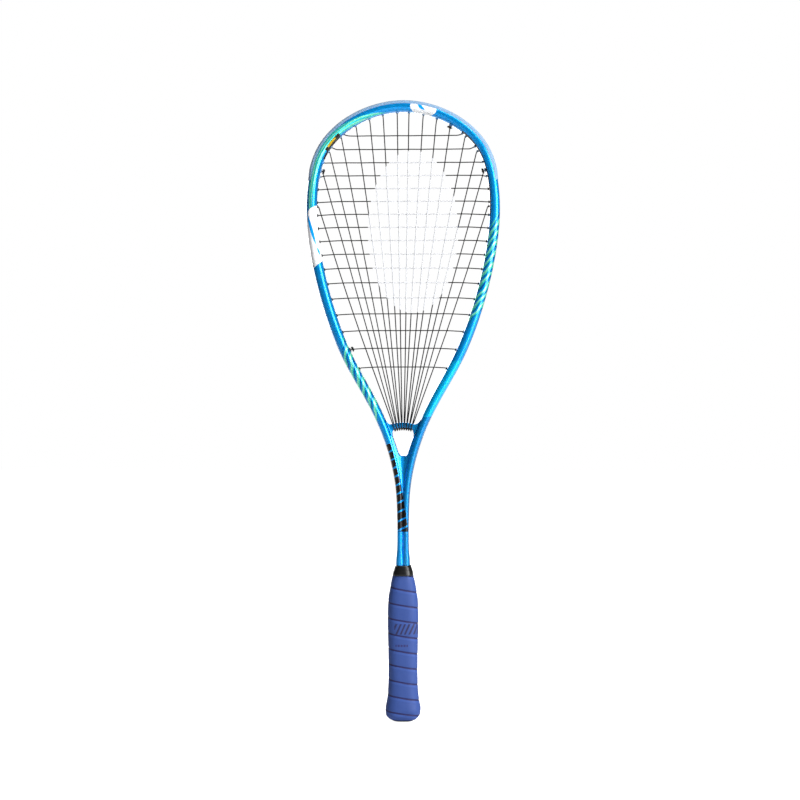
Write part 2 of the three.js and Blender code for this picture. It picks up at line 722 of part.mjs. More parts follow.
// Thin liner between the bridge's underside and the strings that wrap round it.
function bridgeSaddle() {
  const end = bridgeUnderside(SADDLE_REACH) - FIT;
  const middle = 2 * (BRIDGE_UNDERSIDE - FIT) - end;
  const shape = new THREE.Shape();
  shape.moveTo(-SADDLE_REACH, end);
  shape.quadraticCurveTo(0, middle, SADDLE_REACH, end);
  shape.lineTo(SADDLE_REACH, end - SADDLE_THICKNESS);
  shape.quadraticCurveTo(0, middle - SADDLE_THICKNESS, -SADDLE_REACH, end - SADDLE_THICKNESS);
  return flatShape(shape, BRIDGE_HALF_DEPTH, 0);
}

// ---- Handle ----

const HANDLE_STEP = 22.5;           // degrees between corners of the handle's sections
const NECK_WIDTH = LEG_X + NECK_FACE_WIDTH / 2;
const NECK_DEPTH = SHAFT_DEPTH / 2;
const AMPLE = 100;                  // larger than anything that it cuts

// A solid column with a rounded section: rows of [height, half width, half depth].
function column(rows) {
  const frames = rows.map(([z]) => ({
    at: new THREE.Vector3(0, 0, z),
    u: new THREE.Vector3(1, 0, 0),
    v: new THREE.Vector3(0, 1, 0),
  }));
  const sections = rows.map(([, x, y]) => roundedSection(x, y, HANDLE_POWER, 0, 359, HANDLE_STEP));
  return solid(loft(frames, sections));
}

const offsetRows = (rows, by) => rows.map(([z, x, y]) => [z, x + by, y + by]);
const onNeck = (rows) => rows.map(([z, x, y]) => [z, NECK_WIDTH + x, NECK_DEPTH + y]);
const shaftSlot = () => {
  return slab(2 * (NECK_WIDTH + FIT), 2 * (NECK_DEPTH + FIT), 4 * AMPLE, 0, 0, AMPLE);
};

function palletPair() {
  const upper = offsetRows(SLEEVE, -GRIP_THICKNESS - FIT);
  upper.at(-1)[0] = PALLET_TOP;
  const [, halfWidth, halfDepth] = upper[0];
  const recess = CAP_WALL + FIT;
  const shoulder = CAP_TOP + FIT;
  const body = column([
    [PALLET_FOOT, halfWidth - recess, halfDepth - recess],
    [shoulder, halfWidth - recess, halfDepth - recess],
    [shoulder + 0.01, halfWidth, halfDepth],
    ...upper,
  ]);
  return body.subtract(shaftSlot()).subtract(slab(AMPLE, FIT, 4 * AMPLE, 0, 0, AMPLE));
}

function handlePallet(side) {
  const half = slab(AMPLE, AMPLE, 4 * AMPLE, 0, side * AMPLE / 2, AMPLE);
  const pallet = palletPair().intersect(half);
  return staplesGrown().reduce((rest, staple) => rest.subtract(staple), pallet);
}

function buttCap() {
  const [, sleeveWidth, sleeveDepth] = SLEEVE[0];
  const upperWidth = sleeveWidth - GRIP_THICKNESS - FIT;
  const upperDepth = sleeveDepth - GRIP_THICKNESS - FIT;
  const body = column([
    ...CAP_END,
    ...offsetRows(BUTT.slice(1, -2), -GRIP_THICKNESS - FIT),
    [CAP_TOP, upperWidth, upperDepth],
  ]);
  const pocket = column([
    [CAP_FLOOR, upperWidth - CAP_WALL, upperDepth - CAP_WALL],
    [CAP_TOP + 1, upperWidth - CAP_WALL, upperDepth - CAP_WALL],
  ]);
  return staplesGrown().reduce((cap, staple) => cap.subtract(staple), body.subtract(pocket));
}

// A wire staple driven through the side of the cap, with one leg in each pallet.
function capStaple(side, grow = 0) {
  const wire = STAPLE_WIRE + 2 * grow;
  const legX = side * (STAPLE_X - STAPLE_LEG / 2);
  return union([
    slab(wire, STAPLE_CROWN + wire, wire, side * STAPLE_X, 0, STAPLE_HEIGHT),
    slab(STAPLE_LEG + wire, wire, wire, legX, -STAPLE_CROWN / 2, STAPLE_HEIGHT),
    slab(STAPLE_LEG + wire, wire, wire, legX, STAPLE_CROWN / 2, STAPLE_HEIGHT),
  ]);
}

const staplesGrown = () => [capStaple(-1, FIT), capStaple(1, FIT)];

// The grip, whose top end thins out on the neck of the shaft, under the collar.
function gripTape() {
  const inner = offsetRows([...BUTT, ...SLEEVE], -GRIP_THICKNESS);
  inner.at(-1)[0] -= GRIP_OVER_PALLETS;
  const outside = column([...BUTT, ...SLEEVE, ...onNeck(GRIP_END)]);
  const [foot, halfWidth, halfDepth] = inner[0];
  const below = [foot - 1, halfWidth, halfDepth];
  return outside.subtract(column([below, ...inner])).subtract(shaftSlot());
}

// A turn of thin tape that holds the grip's end.
function finishingTape() {
  return column(onNeck(TAPE_OUTSIDE)).subtract(column(onNeck(TAPE_BORE)));
}

function gripCollar() {
  return column(COLLAR).subtract(column(onNeck(COLLAR_POCKET))).subtract(shaftSlot());
}

// ---- The racket ----

const material = (color, roughness, metalness = 0, opacity = 1) => new THREE.MeshStandardMaterial({
  color, roughness, metalness, opacity, transparent: opacity < 1,
});

const paint = material(0x049de4, 0.25, 0.35);
const clearPlastic = material(0xb9c8dc, 0.4, 0, 0.7);
const blackPlastic = material(0x16171a, 0.5);
const nylon = material(0x2b2826, 0.45);
const foam = material(0xb89a6a, 0.8);
const steel = material(0xb8bcc0, 0.3, 1);
const gripSkin = material(0x3c569e, 0.75);
const rubber = material(0x121212, 0.25);
const vinyl = material(0x1b1b1e, 0.4);

const group = new THREE.Group();

function addPart(name, body, finish) {
  const mesh = new THREE.Mesh(geometryOf(body), finish);
  mesh.name = name;
  group.add(mesh);
}

addPart('frame_tube', frameTube(), paint);
addPart('throat_bridge', throatBridge(), paint);
addPart('bumper_guard', bumperGuard(), clearPlastic);
addPart('grommet_strip_left', grommetStrip(-1), blackPlastic);
addPart('grommet_strip_right', grommetStrip(1), blackPlastic);
addPart('bridge_saddle', bridgeSaddle(), blackPlastic);
addPart('main_string', mainString(), nylon);
addPart('cross_string', crossString(), nylon);
addPart('handle_pallet_front', handlePallet(-1), foam);
addPart('handle_pallet_back', handlePallet(1), foam);
addPart('butt_cap', buttCap(), blackPlastic);
addPart('cap_staple_left', capStaple(-1), steel);
addPart('cap_staple_right', capStaple(1), steel);
addPart('grip_tape', gripTape(), gripSkin);
addPart('finishing_tape', finishingTape(), vinyl);
addPart('grip_collar', gripCollar(), rubber);

export default group;
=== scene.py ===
import math
from functools import partialmethod

import bpy
import numpy as np
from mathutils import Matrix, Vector


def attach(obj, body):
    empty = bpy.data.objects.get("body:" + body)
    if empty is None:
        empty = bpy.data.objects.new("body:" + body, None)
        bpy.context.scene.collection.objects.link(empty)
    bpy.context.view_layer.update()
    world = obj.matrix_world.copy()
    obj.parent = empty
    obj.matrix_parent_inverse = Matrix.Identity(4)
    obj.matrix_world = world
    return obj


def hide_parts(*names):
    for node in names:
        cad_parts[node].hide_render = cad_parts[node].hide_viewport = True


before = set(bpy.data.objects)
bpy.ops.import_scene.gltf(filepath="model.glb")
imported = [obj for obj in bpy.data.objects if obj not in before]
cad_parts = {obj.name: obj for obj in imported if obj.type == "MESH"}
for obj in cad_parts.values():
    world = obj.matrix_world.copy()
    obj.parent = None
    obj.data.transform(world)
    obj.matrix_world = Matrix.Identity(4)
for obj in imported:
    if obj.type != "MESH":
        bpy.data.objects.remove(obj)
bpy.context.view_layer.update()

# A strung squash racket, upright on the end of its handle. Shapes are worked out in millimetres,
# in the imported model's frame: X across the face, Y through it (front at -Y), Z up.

MM = 0.001
BACKWARD = np.array([0, 1, 0])

# ---- Driving dimensions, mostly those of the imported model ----

FIT = 0.3  # clearance between neighbouring pieces
SHAFT_TOP = 228
LEG_X = 3.2
CENTRELINE = np.array([
    [0, 679], [34.7, 673.1], [66.0, 656.6], [89.0, 630.5], [99.2, 597], [101.2, 560],
    [94.4, 504.5], [80.2, 450], [59.3, 398], [32.3, 348.5], [16.9, 313], [8.0, 281],
    [4.3, 256], [LEG_X, SHAFT_TOP],
])  # x and z of the tube's middle, down the right side
COLLAR_TOP = 172
FLARE_FOOT = COLLAR_TOP + FIT
WIDTH_HEIGHTS = [FLARE_FOOT, FLARE_FOOT + 0.1, 179, 188, 198, SHAFT_TOP, 311, 400, 560, 600, 680]
FACE_WIDTHS = [6.9, 9.6, 9.2, 7.4, 6.9, 6.9, 9.6, 11.4, 11.88, 11.2, 11.2]  # the widest is 12 in the model
SHAFT_DEPTH = 19
BEAM_DEPTH = 20
SHAFT_POWER = 2.8
TUBE_POWER = 2.6  # 2 for an ellipse
TUBE_END = 6  # where the legs stop, inside the butt
GROOVE_DEPTH = 2.9  # channel for the strings on the outside of the hoop
GROOVE_HALF_WIDTH = 3.4
GROOVE_START = 345  # it fades in between these heights
GROOVE_FULL = 370

BRIDGE_TOP = 329.9
BRIDGE_UNDERSIDE = 323.6
BRIDGE_HALF_DEPTH = 7
UNDERSIDE_BEND = 0.016  # times x squared
SADDLE_THICKNESS = 0.8
SADDLE_REACH = 9.6
THROAT_HALF_WIDTH = 11.75
THROAT_BOTTOM = 293.4
THROAT_FLAT = 2.6  # half width of the opening's straight foot

STRING_RADIUS = 0.6
KNOT_RADIUS = 1.8
STRING_LANE = 1.55  # lanes in the channel: mains behind the middle, crosses in front
STRING_PLANE = 0.75  # the same for their holes
MAIN_PAIRS = 8
LAST_MAIN = 2 * MAIN_PAIRS - 1
CROSS_START_MAIN = 11  # its hole also holds the start of the crosses
CROSSES = 17
BRIDGE_PITCH = 2.46  # between the wraps round the bridge
MAIN_HOLES = [7, 24, 40.5, 58.5, 80.5, 103, 127.5, 169]  # distances from the crown
CROSS_TOP = 647.3
CLOSEST_CROSS = 4  # spacing grows either way from here
CLOSEST_PITCH = 14.2
PITCH_GROWTH = 0.054
CROSS_HOLE_SHIFT = [-1.8, -2.4, 0.3, 1.4]  # of the upper crosses' holes, down the frame
CROSS_DROOP = 1.2  # and of the others'
CROSS_TURN = 4.5
OUTER_MAIN_BOW = 2.2  # the outermost mains bend outwards by this
BARREL_RADIUS = 1.6
BARREL_BORE = 1.1
TIE_RADIUS = 2.3  # wider, for a string and a tied end
TIE_BORE = 1.75
TIE_SHIFT = 0.55  # holes with a tied end are moved back by this
BARREL_PROUD = 1
PROUD_MOUTH = BARREL_PROUD + STRING_RADIUS

BUMPER_THICKNESS = 1.5
BUMPER_END = 596  # it covers the crown above this height
STRIP_START = 1.5  # gap between the bumper and the side strips
STRIP_END = 375
STRIP_THICKNESS = 0.8
STRIP_FLOOR = GROOVE_DEPTH - FIT
STRIP_HALF_WIDTH = GROOVE_HALF_WIDTH - FIT

HANDLE_POWER = 3
GRIP_TOP = 160.5
GRIP_PITCH = 16.95
GRIP_SEAM = 162.6  # height of one seam at the middle of the front
GRIP_GIRTH = 100
BUTT_SLOPE = 0.6
BUTT = [
    (2.5, 15, 13.8), (5, 17.6, 16.1), (9, 19.2, 17.6), (13, 19.6, 18), (18, 18.9, 17.3),
    (25, 17.6, 16), (34, 16.75, 15.25),
]  # height, half width and half depth
SLEEVE = [
    (128, 16.75, 15.25), (134, 16.4, 15.1), (145, 14.8, 14.3), (156, 12.7, 13.1), (GRIP_TOP, 11.7, 12.5),
]

# ---- Finer detail ----

OUTER_ANGLE = 163  # the tube's outside ends here, at the channel's lips
LIP_ANGLE = 111  # the bumper's lips reach as far as this
BUMPER_EDGE = 0.55  # its thickness at its two ends
LIP_GAP = 0.12
LIP_RUN = 24  # they reach full thickness over these degrees
WEB_REACH = 8.6  # it runs into the legs as far as this
WING = [(5.2, 296.6), (5.7, 299.5), (6.5, 305), (7.2, 311), (7.8, 317), (WEB_REACH, 317)]
ROLL_HEIGHT = 2.6  # of the web's edge at the throat opening
SHAFT_VALLEY = 2.0  # depth of the valley between the legs
THROAT_VALLEY = 3.2
VALLEY_END = 285  # deepest above this height
YOKE_TURN = 10.0  # where the underside begins to turn down
YOKE_FOOT = 311
YOKE_FILLET = 1.8
CHANNEL_TURN = 2.5  # from a hole to its lane
CORD_BEND = 1.3
SHARP_BEND = 0.35  # radians; a gentler corner gets a longer curve
WEAVE = STRING_RADIUS + 0.02  # half the distance between strings where they cross
KNOT_SPREAD = 1.7  # wider than it is high
KNOT_THREAD = 1.4 * STRING_RADIUS
DROOP_REACH = 26  # a cross droops over this length before its hole
SEAM_DEPTH = 0.42  # of the grip's winding
SEAM_HALF_WIDTH = 0.75
DIMPLE_TURN = math.pi / 0.85  # radians per millimetre of the grip's dimples

# ---- Colours ----


def srgb(red, green, blue):
    """Linear colour from screen values of 0 to 255."""
    values = np.array([red, green, blue]) / 255
    return tuple(np.where(values <= 0.04045, values / 12.92, ((values + 0.055) / 1.055) ** 2.4))


WHITE = srgb(240, 241, 243)
BLACK = srgb(24, 20, 19)
YELLOW = srgb(226, 184, 10)
TURQUOISE = srgb(64, 226, 192)
PALE_TURQUOISE = srgb(150, 242, 216)
BLUE = srgb(0, 152, 232)
DEEP_BLUE = srgb(0, 88, 172)
BRIGHT_CYAN = srgb(0, 184, 248)
# darker blue below the cyan panel and on the right of the shaft, web and yoke: partly a change of paint,
# partly painted shade on sides facing away from the key light
LEG_BLUE_AND_SHADE = srgb(0, 130, 198)
# painted shade: dark brown on the right limb's inner side, which faces away from the key light
INNER_SHADE_BROWN = srgb(44, 34, 28)
BUMPER_GREY = srgb(134, 168, 202)
PLASTIC_BLACK = srgb(20, 20, 22)
STRING_BLACK = srgb(17, 15, 14)
STENCIL_WHITE = srgb(204, 205, 209)
FOAM_TAN = srgb(196, 170, 128)
STEEL = srgb(190, 192, 196)
GRIP_BLUE = srgb(40, 69, 138)
# painted highlight: lighter blue just below each seam of the grip
SEAM_HIGHLIGHT_BLUE = srgb(45, 75, 148)
# painted shadow in the seam between the grip's turns
SEAM_SHADOW_BLUE = srgb(20, 20, 80)
BAR_BLUE = srgb(26, 28, 76)
DASH_BLUE = srgb(34, 36, 96)
TAPE_BLACK = srgb(24, 24, 27)
RUBBER_BLACK = srgb(14, 14, 15)
METALLIC = 0.6  # of the frame's paint, apart from the white panels

# ---- Decoration and painted shade, mostly in distances from the crown, + on the right ----

PLAIN = 500  # a distance beyond all the hoop's decoration
RIGHT_BLADES = (186, 294)
LEFT_BLADES = (330, 412)
FLASH_MIDDLE = -106
FLASH_REACH = 86
LEFT_PANEL = (-234.8, -171.6)
LEFT_LEAF = -196
LEFT_LEAFLET = -220
CROWN_PANEL = 22.8
CROWN_PANEL_REACH = 14.6
PANEL_POWER = 2.4
CROWN_LEAF = 20.5
CYAN_PANEL = (347, 417)
LABEL = (-104, -79.5)
LABEL_BAR = (-99.5, -86)
LABEL_TAIL = (-114, -103)
# where the painted shade lies on the right limb's inner side
INNER_SHADE_STRIP = (74, 179)
BLOCK_HEIGHTS = (209.5, 306.5)
BLOCK_PITCH = 10.2
STENCIL_MIDDLE = (11, 541)  # across and up the face
STENCIL_REACH = (50, 90)
BAR_HEIGHTS = (97, 108.5)
BAR_PITCH = 4.8
DASH_HEIGHTS = (83.4, 85.8)
DASH_PITCH = 3.4

# ---- Studio, in metres and watts ----

CAMERA_AZIMUTH = math.radians(2)
CAMERA_DISTANCE = 1.7
FRAMING = 0.8862  # width of the picture at the racket
SENSOR = 36
AIM = np.array([-0.0034, 0, 0.3546])
AMBIENT = 0.09  # light from all round, where the camera sees pure white
FLOOR_GLOW = 0.94
FLOOR_REACH = 6
SOFTBOXES = [  # name, place, width and height, power
    ("key_right", (2.3, -1.5, 0.8), (1.2, 2.2), 84),
    ("front_right", (1.3, -2.2, 0.7), (0.6, 1.8), 22),
    ("overhead", (0.9, -0.8, 2.2), (1.2, 1.2), 36),
    ("back_fill", (-0.7, 2.6, 1.0), (1.6, 1.6), 40),
]

# ---- Meshes ----


def grid_faces(rings, sides):
    """Quads between consecutive rings of points, closed round each ring."""
    ring, side = np.meshgrid(np.arange(rings - 1), np.arange(sides), indexing="ij")
    a = (ring * sides + side).ravel()
    b = (ring * sides + (side + 1) % sides).ravel()
    return np.stack([a, b, b + sides, a + sides], axis=1).tolist()


def closed_shell(rings, ends=True):
    """A shell through rings of points, an array of ring, side and coordinate."""
    count, sides, _ = rings.shape
    faces = grid_faces(count, sides)
    if ends:
        faces.append(list(range(sides))[::-1])
        faces.append([(count - 1) * sides + side for side in range(sides)])
    return rings.reshape(-1, 3), faces


def ring_shell(rings):
    """A shell whose last ring joins its first, as round a hole."""
    return closed_shell(np.concatenate([rings, rings[:1]]), ends=False)


def joined(shells):
    """Several shells as one."""
    points = []
    faces = []
    start = 0
    for shell_points, shell_faces in shells:
        points.append(shell_points)
        faces.extend([corner + start for corner in face] for face in shell_faces)
        start += len(shell_points)
    return np.concatenate(points), faces


def new_object(name, data):
    thing = bpy.data.objects.new(name, data)
    bpy.context.scene.collection.objects.link(thing)
    return thing


def make_piece(name, shell, material, nodes, slot, sharp_degrees=35, **attributes):
    """A finished piece that rides on the racket in place of its CAD nodes."""
    points, faces = shell
    mesh = bpy.data.meshes.new(name)
    mesh.from_pydata((points * MM).tolist(), [], faces)
    mesh.validate()
    mesh.shade_smooth()
    mesh.set_sharp_from_angle(angle=math.radians(sharp_degrees))
    for key, values in attributes.items():
        layer = mesh.attributes.new(key, "FLOAT", "POINT")
        layer.data.foreach_set("value", np.asarray(values, np.float32))
    mesh.materials.append(material)
    piece = new_object(name, mesh)
    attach(piece, "root")
    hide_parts(*nodes)


def keep_cad_node(node, material):
    """Shows a CAD node as it is, with a procedural finish."""
    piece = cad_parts[node]
    piece.data.materials.clear()
    piece.data.materials.append(material)


# ---- Curves and sections ----


def smoothstep(low, high, value):
    t = np.clip((value - low) / (high - low), 0, 1)
    return t * t * (3 - 2 * t)


def cubic_spline(knots, values, start_slope, end_slope):
    """Smooth cubic through values at knots, with given slopes at its ends."""
    count = len(knots)
    step = np.diff(knots)
    slope = np.diff(values) / step
    matrix = np.eye(count)
    right = np.zeros(count)
    right[0] = start_slope
    right[-1] = end_slope
    for i in range(1, count - 1):
        matrix[i, i - 1:i + 2] = [step[i], 2 * (step[i - 1] + step[i]), step[i - 1]]
        right[i] = 3 * (step[i] * slope[i - 1] + step[i - 1] * slope[i])
    tangent = np.linalg.solve(matrix, right)

    def value_at(key):
        i = np.clip(np.searchsorted(knots, key, side="right") - 1, 0, count - 2)
        t = (key - knots[i]) / step[i]
        ends = (2 * t**3 - 3 * t**2 + 1) * values[i] + (3 * t**2 - 2 * t**3) * values[i + 1]
        return ends + step[i] * ((t**3 - 2 * t**2 + t) * tangent[i] + (t**3 - t**2) * tangent[i + 1])

    return value_at


def half_line():
    """Distance from the crown, x and z of close points down the right half."""
    knots = np.concatenate([[0], np.cumsum(np.hypot(*np.diff(CENTRELINE, axis=0).T))])
    keys = np.linspace(0, knots[-1], 2400)
    x = cubic_spline(knots, CENTRELINE[:, 0], 1, 0)(keys)
    z = cubic_spline(knots, CENTRELINE[:, 1], 0, -1)(keys)
    x = np.append(x, LEG_X)
    z = np.append(z, 0)
    distance = np.concatenate([[0], np.cumsum(np.hypot(np.diff(x), np.diff(z)))])
    return distance, x, z


LINE_DISTANCE, LINE_X, LINE_Z = half_line()
LINE_SLOPE_X = np.gradient(LINE_X, LINE_DISTANCE)
LINE_SLOPE_Z = np.gradient(LINE_Z, LINE_DISTANCE)


def tube_at(distance):
    """Middle, inward direction and face width at distances from the crown, + on the right."""
    distance = np.atleast_1d(np.asarray(distance, float))
    reach = np.abs(distance)
    side = np.where(distance < 0, -1.0, 1.0)
    x = np.interp(reach, LINE_DISTANCE, LINE_X)
    z = np.interp(reach, LINE_DISTANCE, LINE_Z)
    along_x = np.interp(reach, LINE_DISTANCE, LINE_SLOPE_X)
    along_z = np.interp(reach, LINE_DISTANCE, LINE_SLOPE_Z)
    length = np.hypot(along_x, along_z)
    zero = np.zeros_like(x)
    middle = np.stack([x * side, zero, z], axis=1)
    inward = np.stack([side * along_z / length, zero, -along_x / length], axis=1)
    width = np.interp(z, WIDTH_HEIGHTS, FACE_WIDTHS)
    return middle, inward, width


def tube_place(distance):
    """Middle, inward direction and face width at one distance."""
    return [value[0] for value in tube_at(distance)]


def place_sections(distances, sections):
    """Rings of [inward, depth] points, put round the tube's middle at each distance."""
    middle, inward, _ = tube_at(distances)
    rings = middle[:, None, :] + sections[:, :, :1] * inward[:, None, :]
    rings[:, :, 1] += sections[:, :, 1]
    return rings


def distance_at_height(height, proud=0.0):
    """Distance from the crown at which the tube's inner face, raised by proud, is at a height."""
    middle, inward, width = tube_at(LINE_DISTANCE)
    inner = middle[:, 2] + inward[:, 2] * (width / 2 + proud)
    return float(np.interp(-height, -inner, LINE_DISTANCE))


def superellipse(half_width, half_depth, power, angles):
    """Points of a rounded section at angles in degrees, for several sizes at once."""
    radians = np.radians(angles)
    c = np.cos(radians)
    s = np.sin(radians)
    u = half_width * np.sign(c) * np.abs(c) ** (2 / power)
    v = half_depth * np.sign(s) * np.abs(s) ** (2 / power)
    return np.stack([u, v], axis=-1)


def circle(across, up, sides):
    """Points round a unit circle in the plane of two directions."""
    turn = np.linspace(0, 2 * math.pi, sides, endpoint=False)[:, None]
    return np.cos(turn) * across + np.sin(turn) * up


def beam_shape(heights):
    """Half depth, rounding power and groove depth of the tube at some heights."""
    on_shaft = smoothstep(SHAFT_TOP, BRIDGE_TOP, heights)
    half_depth = (SHAFT_DEPTH + (BEAM_DEPTH - SHAFT_DEPTH) * on_shaft) / 2
    power = SHAFT_POWER + (TUBE_POWER - SHAFT_POWER) * on_shaft
    groove = GROOVE_DEPTH * smoothstep(GROOVE_START, GROOVE_FULL, heights)
    return half_depth, power, groove


def section_points(places):
    """Section points at every distance, from pairs of inward reaches and a depth."""
    return np.stack([
        np.stack([reach, np.full_like(reach, depth)], axis=1) for reach, depth in places
    ], axis=1)


def lip_reach(distances):
    """Inward reach of the groove's lips, which is negative."""
    middle, _, width = tube_at(distances)
    half_depth, power, _ = beam_shape(middle[:, 2])
    return -width / 2 * (1 - (GROOVE_HALF_WIDTH / half_depth) ** power) ** (1 / power)


# ---- Frame ----


def tube_sections(distances):
    """The tube's outside, with its soft-edged string channel, at each distance."""
    middle, _, width = tube_at(distances)
    half_depth, power, groove = (value[:, None] for value in beam_shape(middle[:, 2]))
    angles = np.linspace(-OUTER_ANGLE, OUTER_ANGLE, 57)[None, :]
    rounded = superellipse(width[:, None] / 2, half_depth, power, angles)
    lip = lip_reach(distances)
    edge = GROOVE_HALF_WIDTH
    wall = [(0.0, edge + 0.25), (0.12, edge + 0.05), (0.4, edge), (0.93, edge), (1.0, edge - 0.25)]
    back = section_points([(lip + share * groove[:, 0], depth) for share, depth in wall])
    front = back[:, ::-1] * [1, -1]
    return np.concatenate([rounded, back, front], axis=1)


def hairpin():
    """The tube from leg to leg round the crown, and each point's distance along and inward."""
    in_hoop = np.arange(0, LINE_DISTANCE[-1] - SHAFT_TOP, 2.0)
    flare = [FLARE_FOOT + 0.1, FLARE_FOOT]
    leg_heights = np.concatenate([np.arange(SHAFT_TOP - 2, FLARE_FOOT, -2.5), flare, [140, TUBE_END]])
    reach = np.concatenate([in_hoop, LINE_DISTANCE[-1] - leg_heights])
    distances = np.concatenate([-reach[:0:-1], reach])
    sections = tube_sections(distances)
    along = np.repeat(distances, sections.shape[1])
    inward = sections[:, :, 0].ravel()
    return closed_shell(place_sections(distances, sections)), along, inward


def leg_front(x, z):
    """Half depth of the nearer leg at places in the throat, 0 beside it, and its middle's x."""
    reach = np.interp(-z, -LINE_Z, LINE_DISTANCE)
    middle, _, width = tube_at(reach)
    half_depth, power, _ = beam_shape(z)
    share = np.abs(np.abs(x) - middle[:, 0]) / (width / 2)
    return half_depth * np.clip(1 - share**power, 0, 1) ** (1 / power), middle[:, 0]


def web_top(reach):
    """Height of the web's upper edge at a reach from its middle: a round foot, then a wing."""
    foot_reach, foot_height = WING[0]
    if reach > foot_reach:
        return np.interp(reach, *zip(*WING))
    share = max(reach - THROAT_FLAT, 0) / (foot_reach - THROAT_FLAT)
    return THROAT_BOTTOM + (foot_height - THROAT_BOTTOM) * share**2


def throat_web():
    """The valley between the legs, rolled over round the throat opening's foot."""
    roll = np.linspace(0, math.pi, 17)
    rings = []
    for share in np.linspace(-1, 1, 61):
        x_top = share * WEB_REACH
        z = np.linspace(TUBE_END, web_top(abs(x_top)) - ROLL_HEIGHT, 70)
        legs = np.interp(-z, -LINE_Z, LINE_X)
        x = x_top * legs / np.interp(-THROAT_BOTTOM, -LINE_Z, LINE_X)
        dip = SHAFT_VALLEY + (THROAT_VALLEY - SHAFT_VALLEY) * smoothstep(SHAFT_TOP, VALLEY_END, z)
        valley = SHAFT_DEPTH / 2 - 0.25 - dip * (1 - share**2) ** 0.8
        leg, leg_x = leg_front(x, z)
        front = np.where(np.abs(x) > leg_x, np.minimum(valley, leg - 0.2), valley)
        face = np.stack([x, -front, z], axis=1)
        lip = np.stack([
            np.full_like(roll, x[-1]), -front[-1] * np.cos(roll), z[-1] + ROLL_HEIGHT * np.sin(roll) ** 0.7,
        ], axis=1)[1:-1]
        rings.append(np.concatenate([face, lip, face[::-1] * [1, -1, 1]]))
    return closed_shell(np.array(rings)[::-1])


def rounded_rectangle(width, depth, radius):
    """Section from 0 to width and -depth / 2 to depth / 2, with rounded corners."""
    points = []
    for turn, (x, y) in enumerate([(width - radius, 1), (radius, 1), (radius, -1), (width - radius, -1)]):
        for angle in np.linspace(turn * 90, turn * 90 + 90, 6):
            c = math.cos(math.radians(angle))
            s = math.sin(math.radians(angle))
            points.append((x + radius * c, y * (depth / 2 - radius) + radius * s))
    return np.array(points)


def band_between(lower, upper, depth, radius):
    """A plate between two rows of [x, z] points, with rounded edges."""
    rings = []
    for low, high in zip(lower, upper):
        reach, y = rounded_rectangle(np.hypot(*(high - low)), depth, radius).T
        place = low + (high - low) * (reach / np.hypot(*(high - low)))[:, None]
        rings.append(np.stack([place[:, 0], y, place[:, 1]], axis=1))
    return closed_shell(np.array(rings))


def curve_points(start, control, end, count, endpoint=False):
    """Points of a quadratic curve, without its last one unless asked."""
    t = np.linspace(0, 1, count, endpoint=endpoint)[:, None]
    start, control, end = (np.array(point, float) for point in (start, control, end))
    return (1 - t) ** 2 * start + 2 * t * (1 - t) * control + t * t * end


def bridge_underside(x):
    return BRIDGE_UNDERSIDE - x * x * UNDERSIDE_BEND


def throat_bridge():
    """The yoke between the legs, with fillets into them above and below."""
    low = bridge_underside(YOKE_TURN)
    wall = THROAT_HALF_WIDTH
    foot = (wall - 0.9, YOKE_FOOT)
    shoulder = (12.6, BRIDGE_TOP - 1.8)
    tip = (19.2, BRIDGE_TOP + 2.8)
    lower = np.concatenate([
        curve_points((0, BRIDGE_UNDERSIDE), (YOKE_TURN / 2, BRIDGE_UNDERSIDE), (YOKE_TURN, low), 8),
        curve_points((YOKE_TURN, low), (wall + 0.8, low - 2.4), foot, 12),
        [foot],
    ])
    upper = np.concatenate([
        curve_points((0, BRIDGE_TOP), (shoulder[0] / 2, BRIDGE_TOP), shoulder, 8),
        curve_points(shoulder, (16.6, BRIDGE_TOP - 2.3), tip, 12),
        [tip],
    ])
    lower, upper = (np.concatenate([edge[:0:-1] * [-1, 1], edge]) for edge in (lower, upper))
    return band_between(lower, upper, 2 * BRIDGE_HALF_DEPTH, YOKE_FILLET)


def bridge_saddle():
    """The thin liner under the bridge."""
    x = np.linspace(-SADDLE_REACH, SADDLE_REACH, 33)
    top = bridge_underside(x) - FIT
    lower = np.stack([x, top - SADDLE_THICKNESS], axis=1)
    upper = np.stack([x, top], axis=1)
    return band_between(lower, upper, 2 * BRIDGE_HALF_DEPTH, 0.25)


# ---- Bumper, grommet strips ----


def strip_distances(start, end):
    return np.linspace(start, end, int(abs(end - start) / 2.5) + 2)


def bumper_guard():
    """Channel over the crown: a floor in the groove and lips round the tube's edges."""
    reach = distance_at_height(BUMPER_END)
    distances = strip_distances(-reach, reach)
    middle, _, width = tube_at(distances)
    half_depth, power, _ = (value[:, None] for value in beam_shape(middle[:, 2]))
    half_width = width[:, None] / 2
    angles = np.linspace(LIP_ANGLE, OUTER_ANGLE, 14)[None, :]
    taper = smoothstep(0, 14, reach - np.abs(distances))[:, None]
    thick = BUMPER_EDGE + (BUMPER_THICKNESS - BUMPER_EDGE) * taper
    near = superellipse(half_width + LIP_GAP, half_depth + LIP_GAP, power, angles)
    full = superellipse(half_width + thick, half_depth + thick * 0.92, power, angles)
    rise = 0.12 + 0.88 * smoothstep(0, LIP_RUN, angles - LIP_ANGLE)
    far = near + (full - near) * rise[:, :, None]
    lip = lip_reach(distances)
    floor = lip + STRIP_FLOOR
    edge = STRIP_HALF_WIDTH
    outside = [(lip - thick[:, 0] * 0.9, edge + 0.3), (lip - thick[:, 0] * 0.5, edge - 0.3),
               (floor - STRIP_THICKNESS, edge - 0.8)]
    back = np.concatenate([
        section_points([(floor, edge), (lip - 0.1, edge)]), near[:, ::-1], far, section_points(outside),
    ], axis=1)
    front = back[:, ::-1] * [1, -1]
    sections = np.concatenate([back, front], axis=1)
    shell = closed_shell(place_sections(distances, sections)[::-1])
    return joined([shell, *barrels(-reach, reach)])


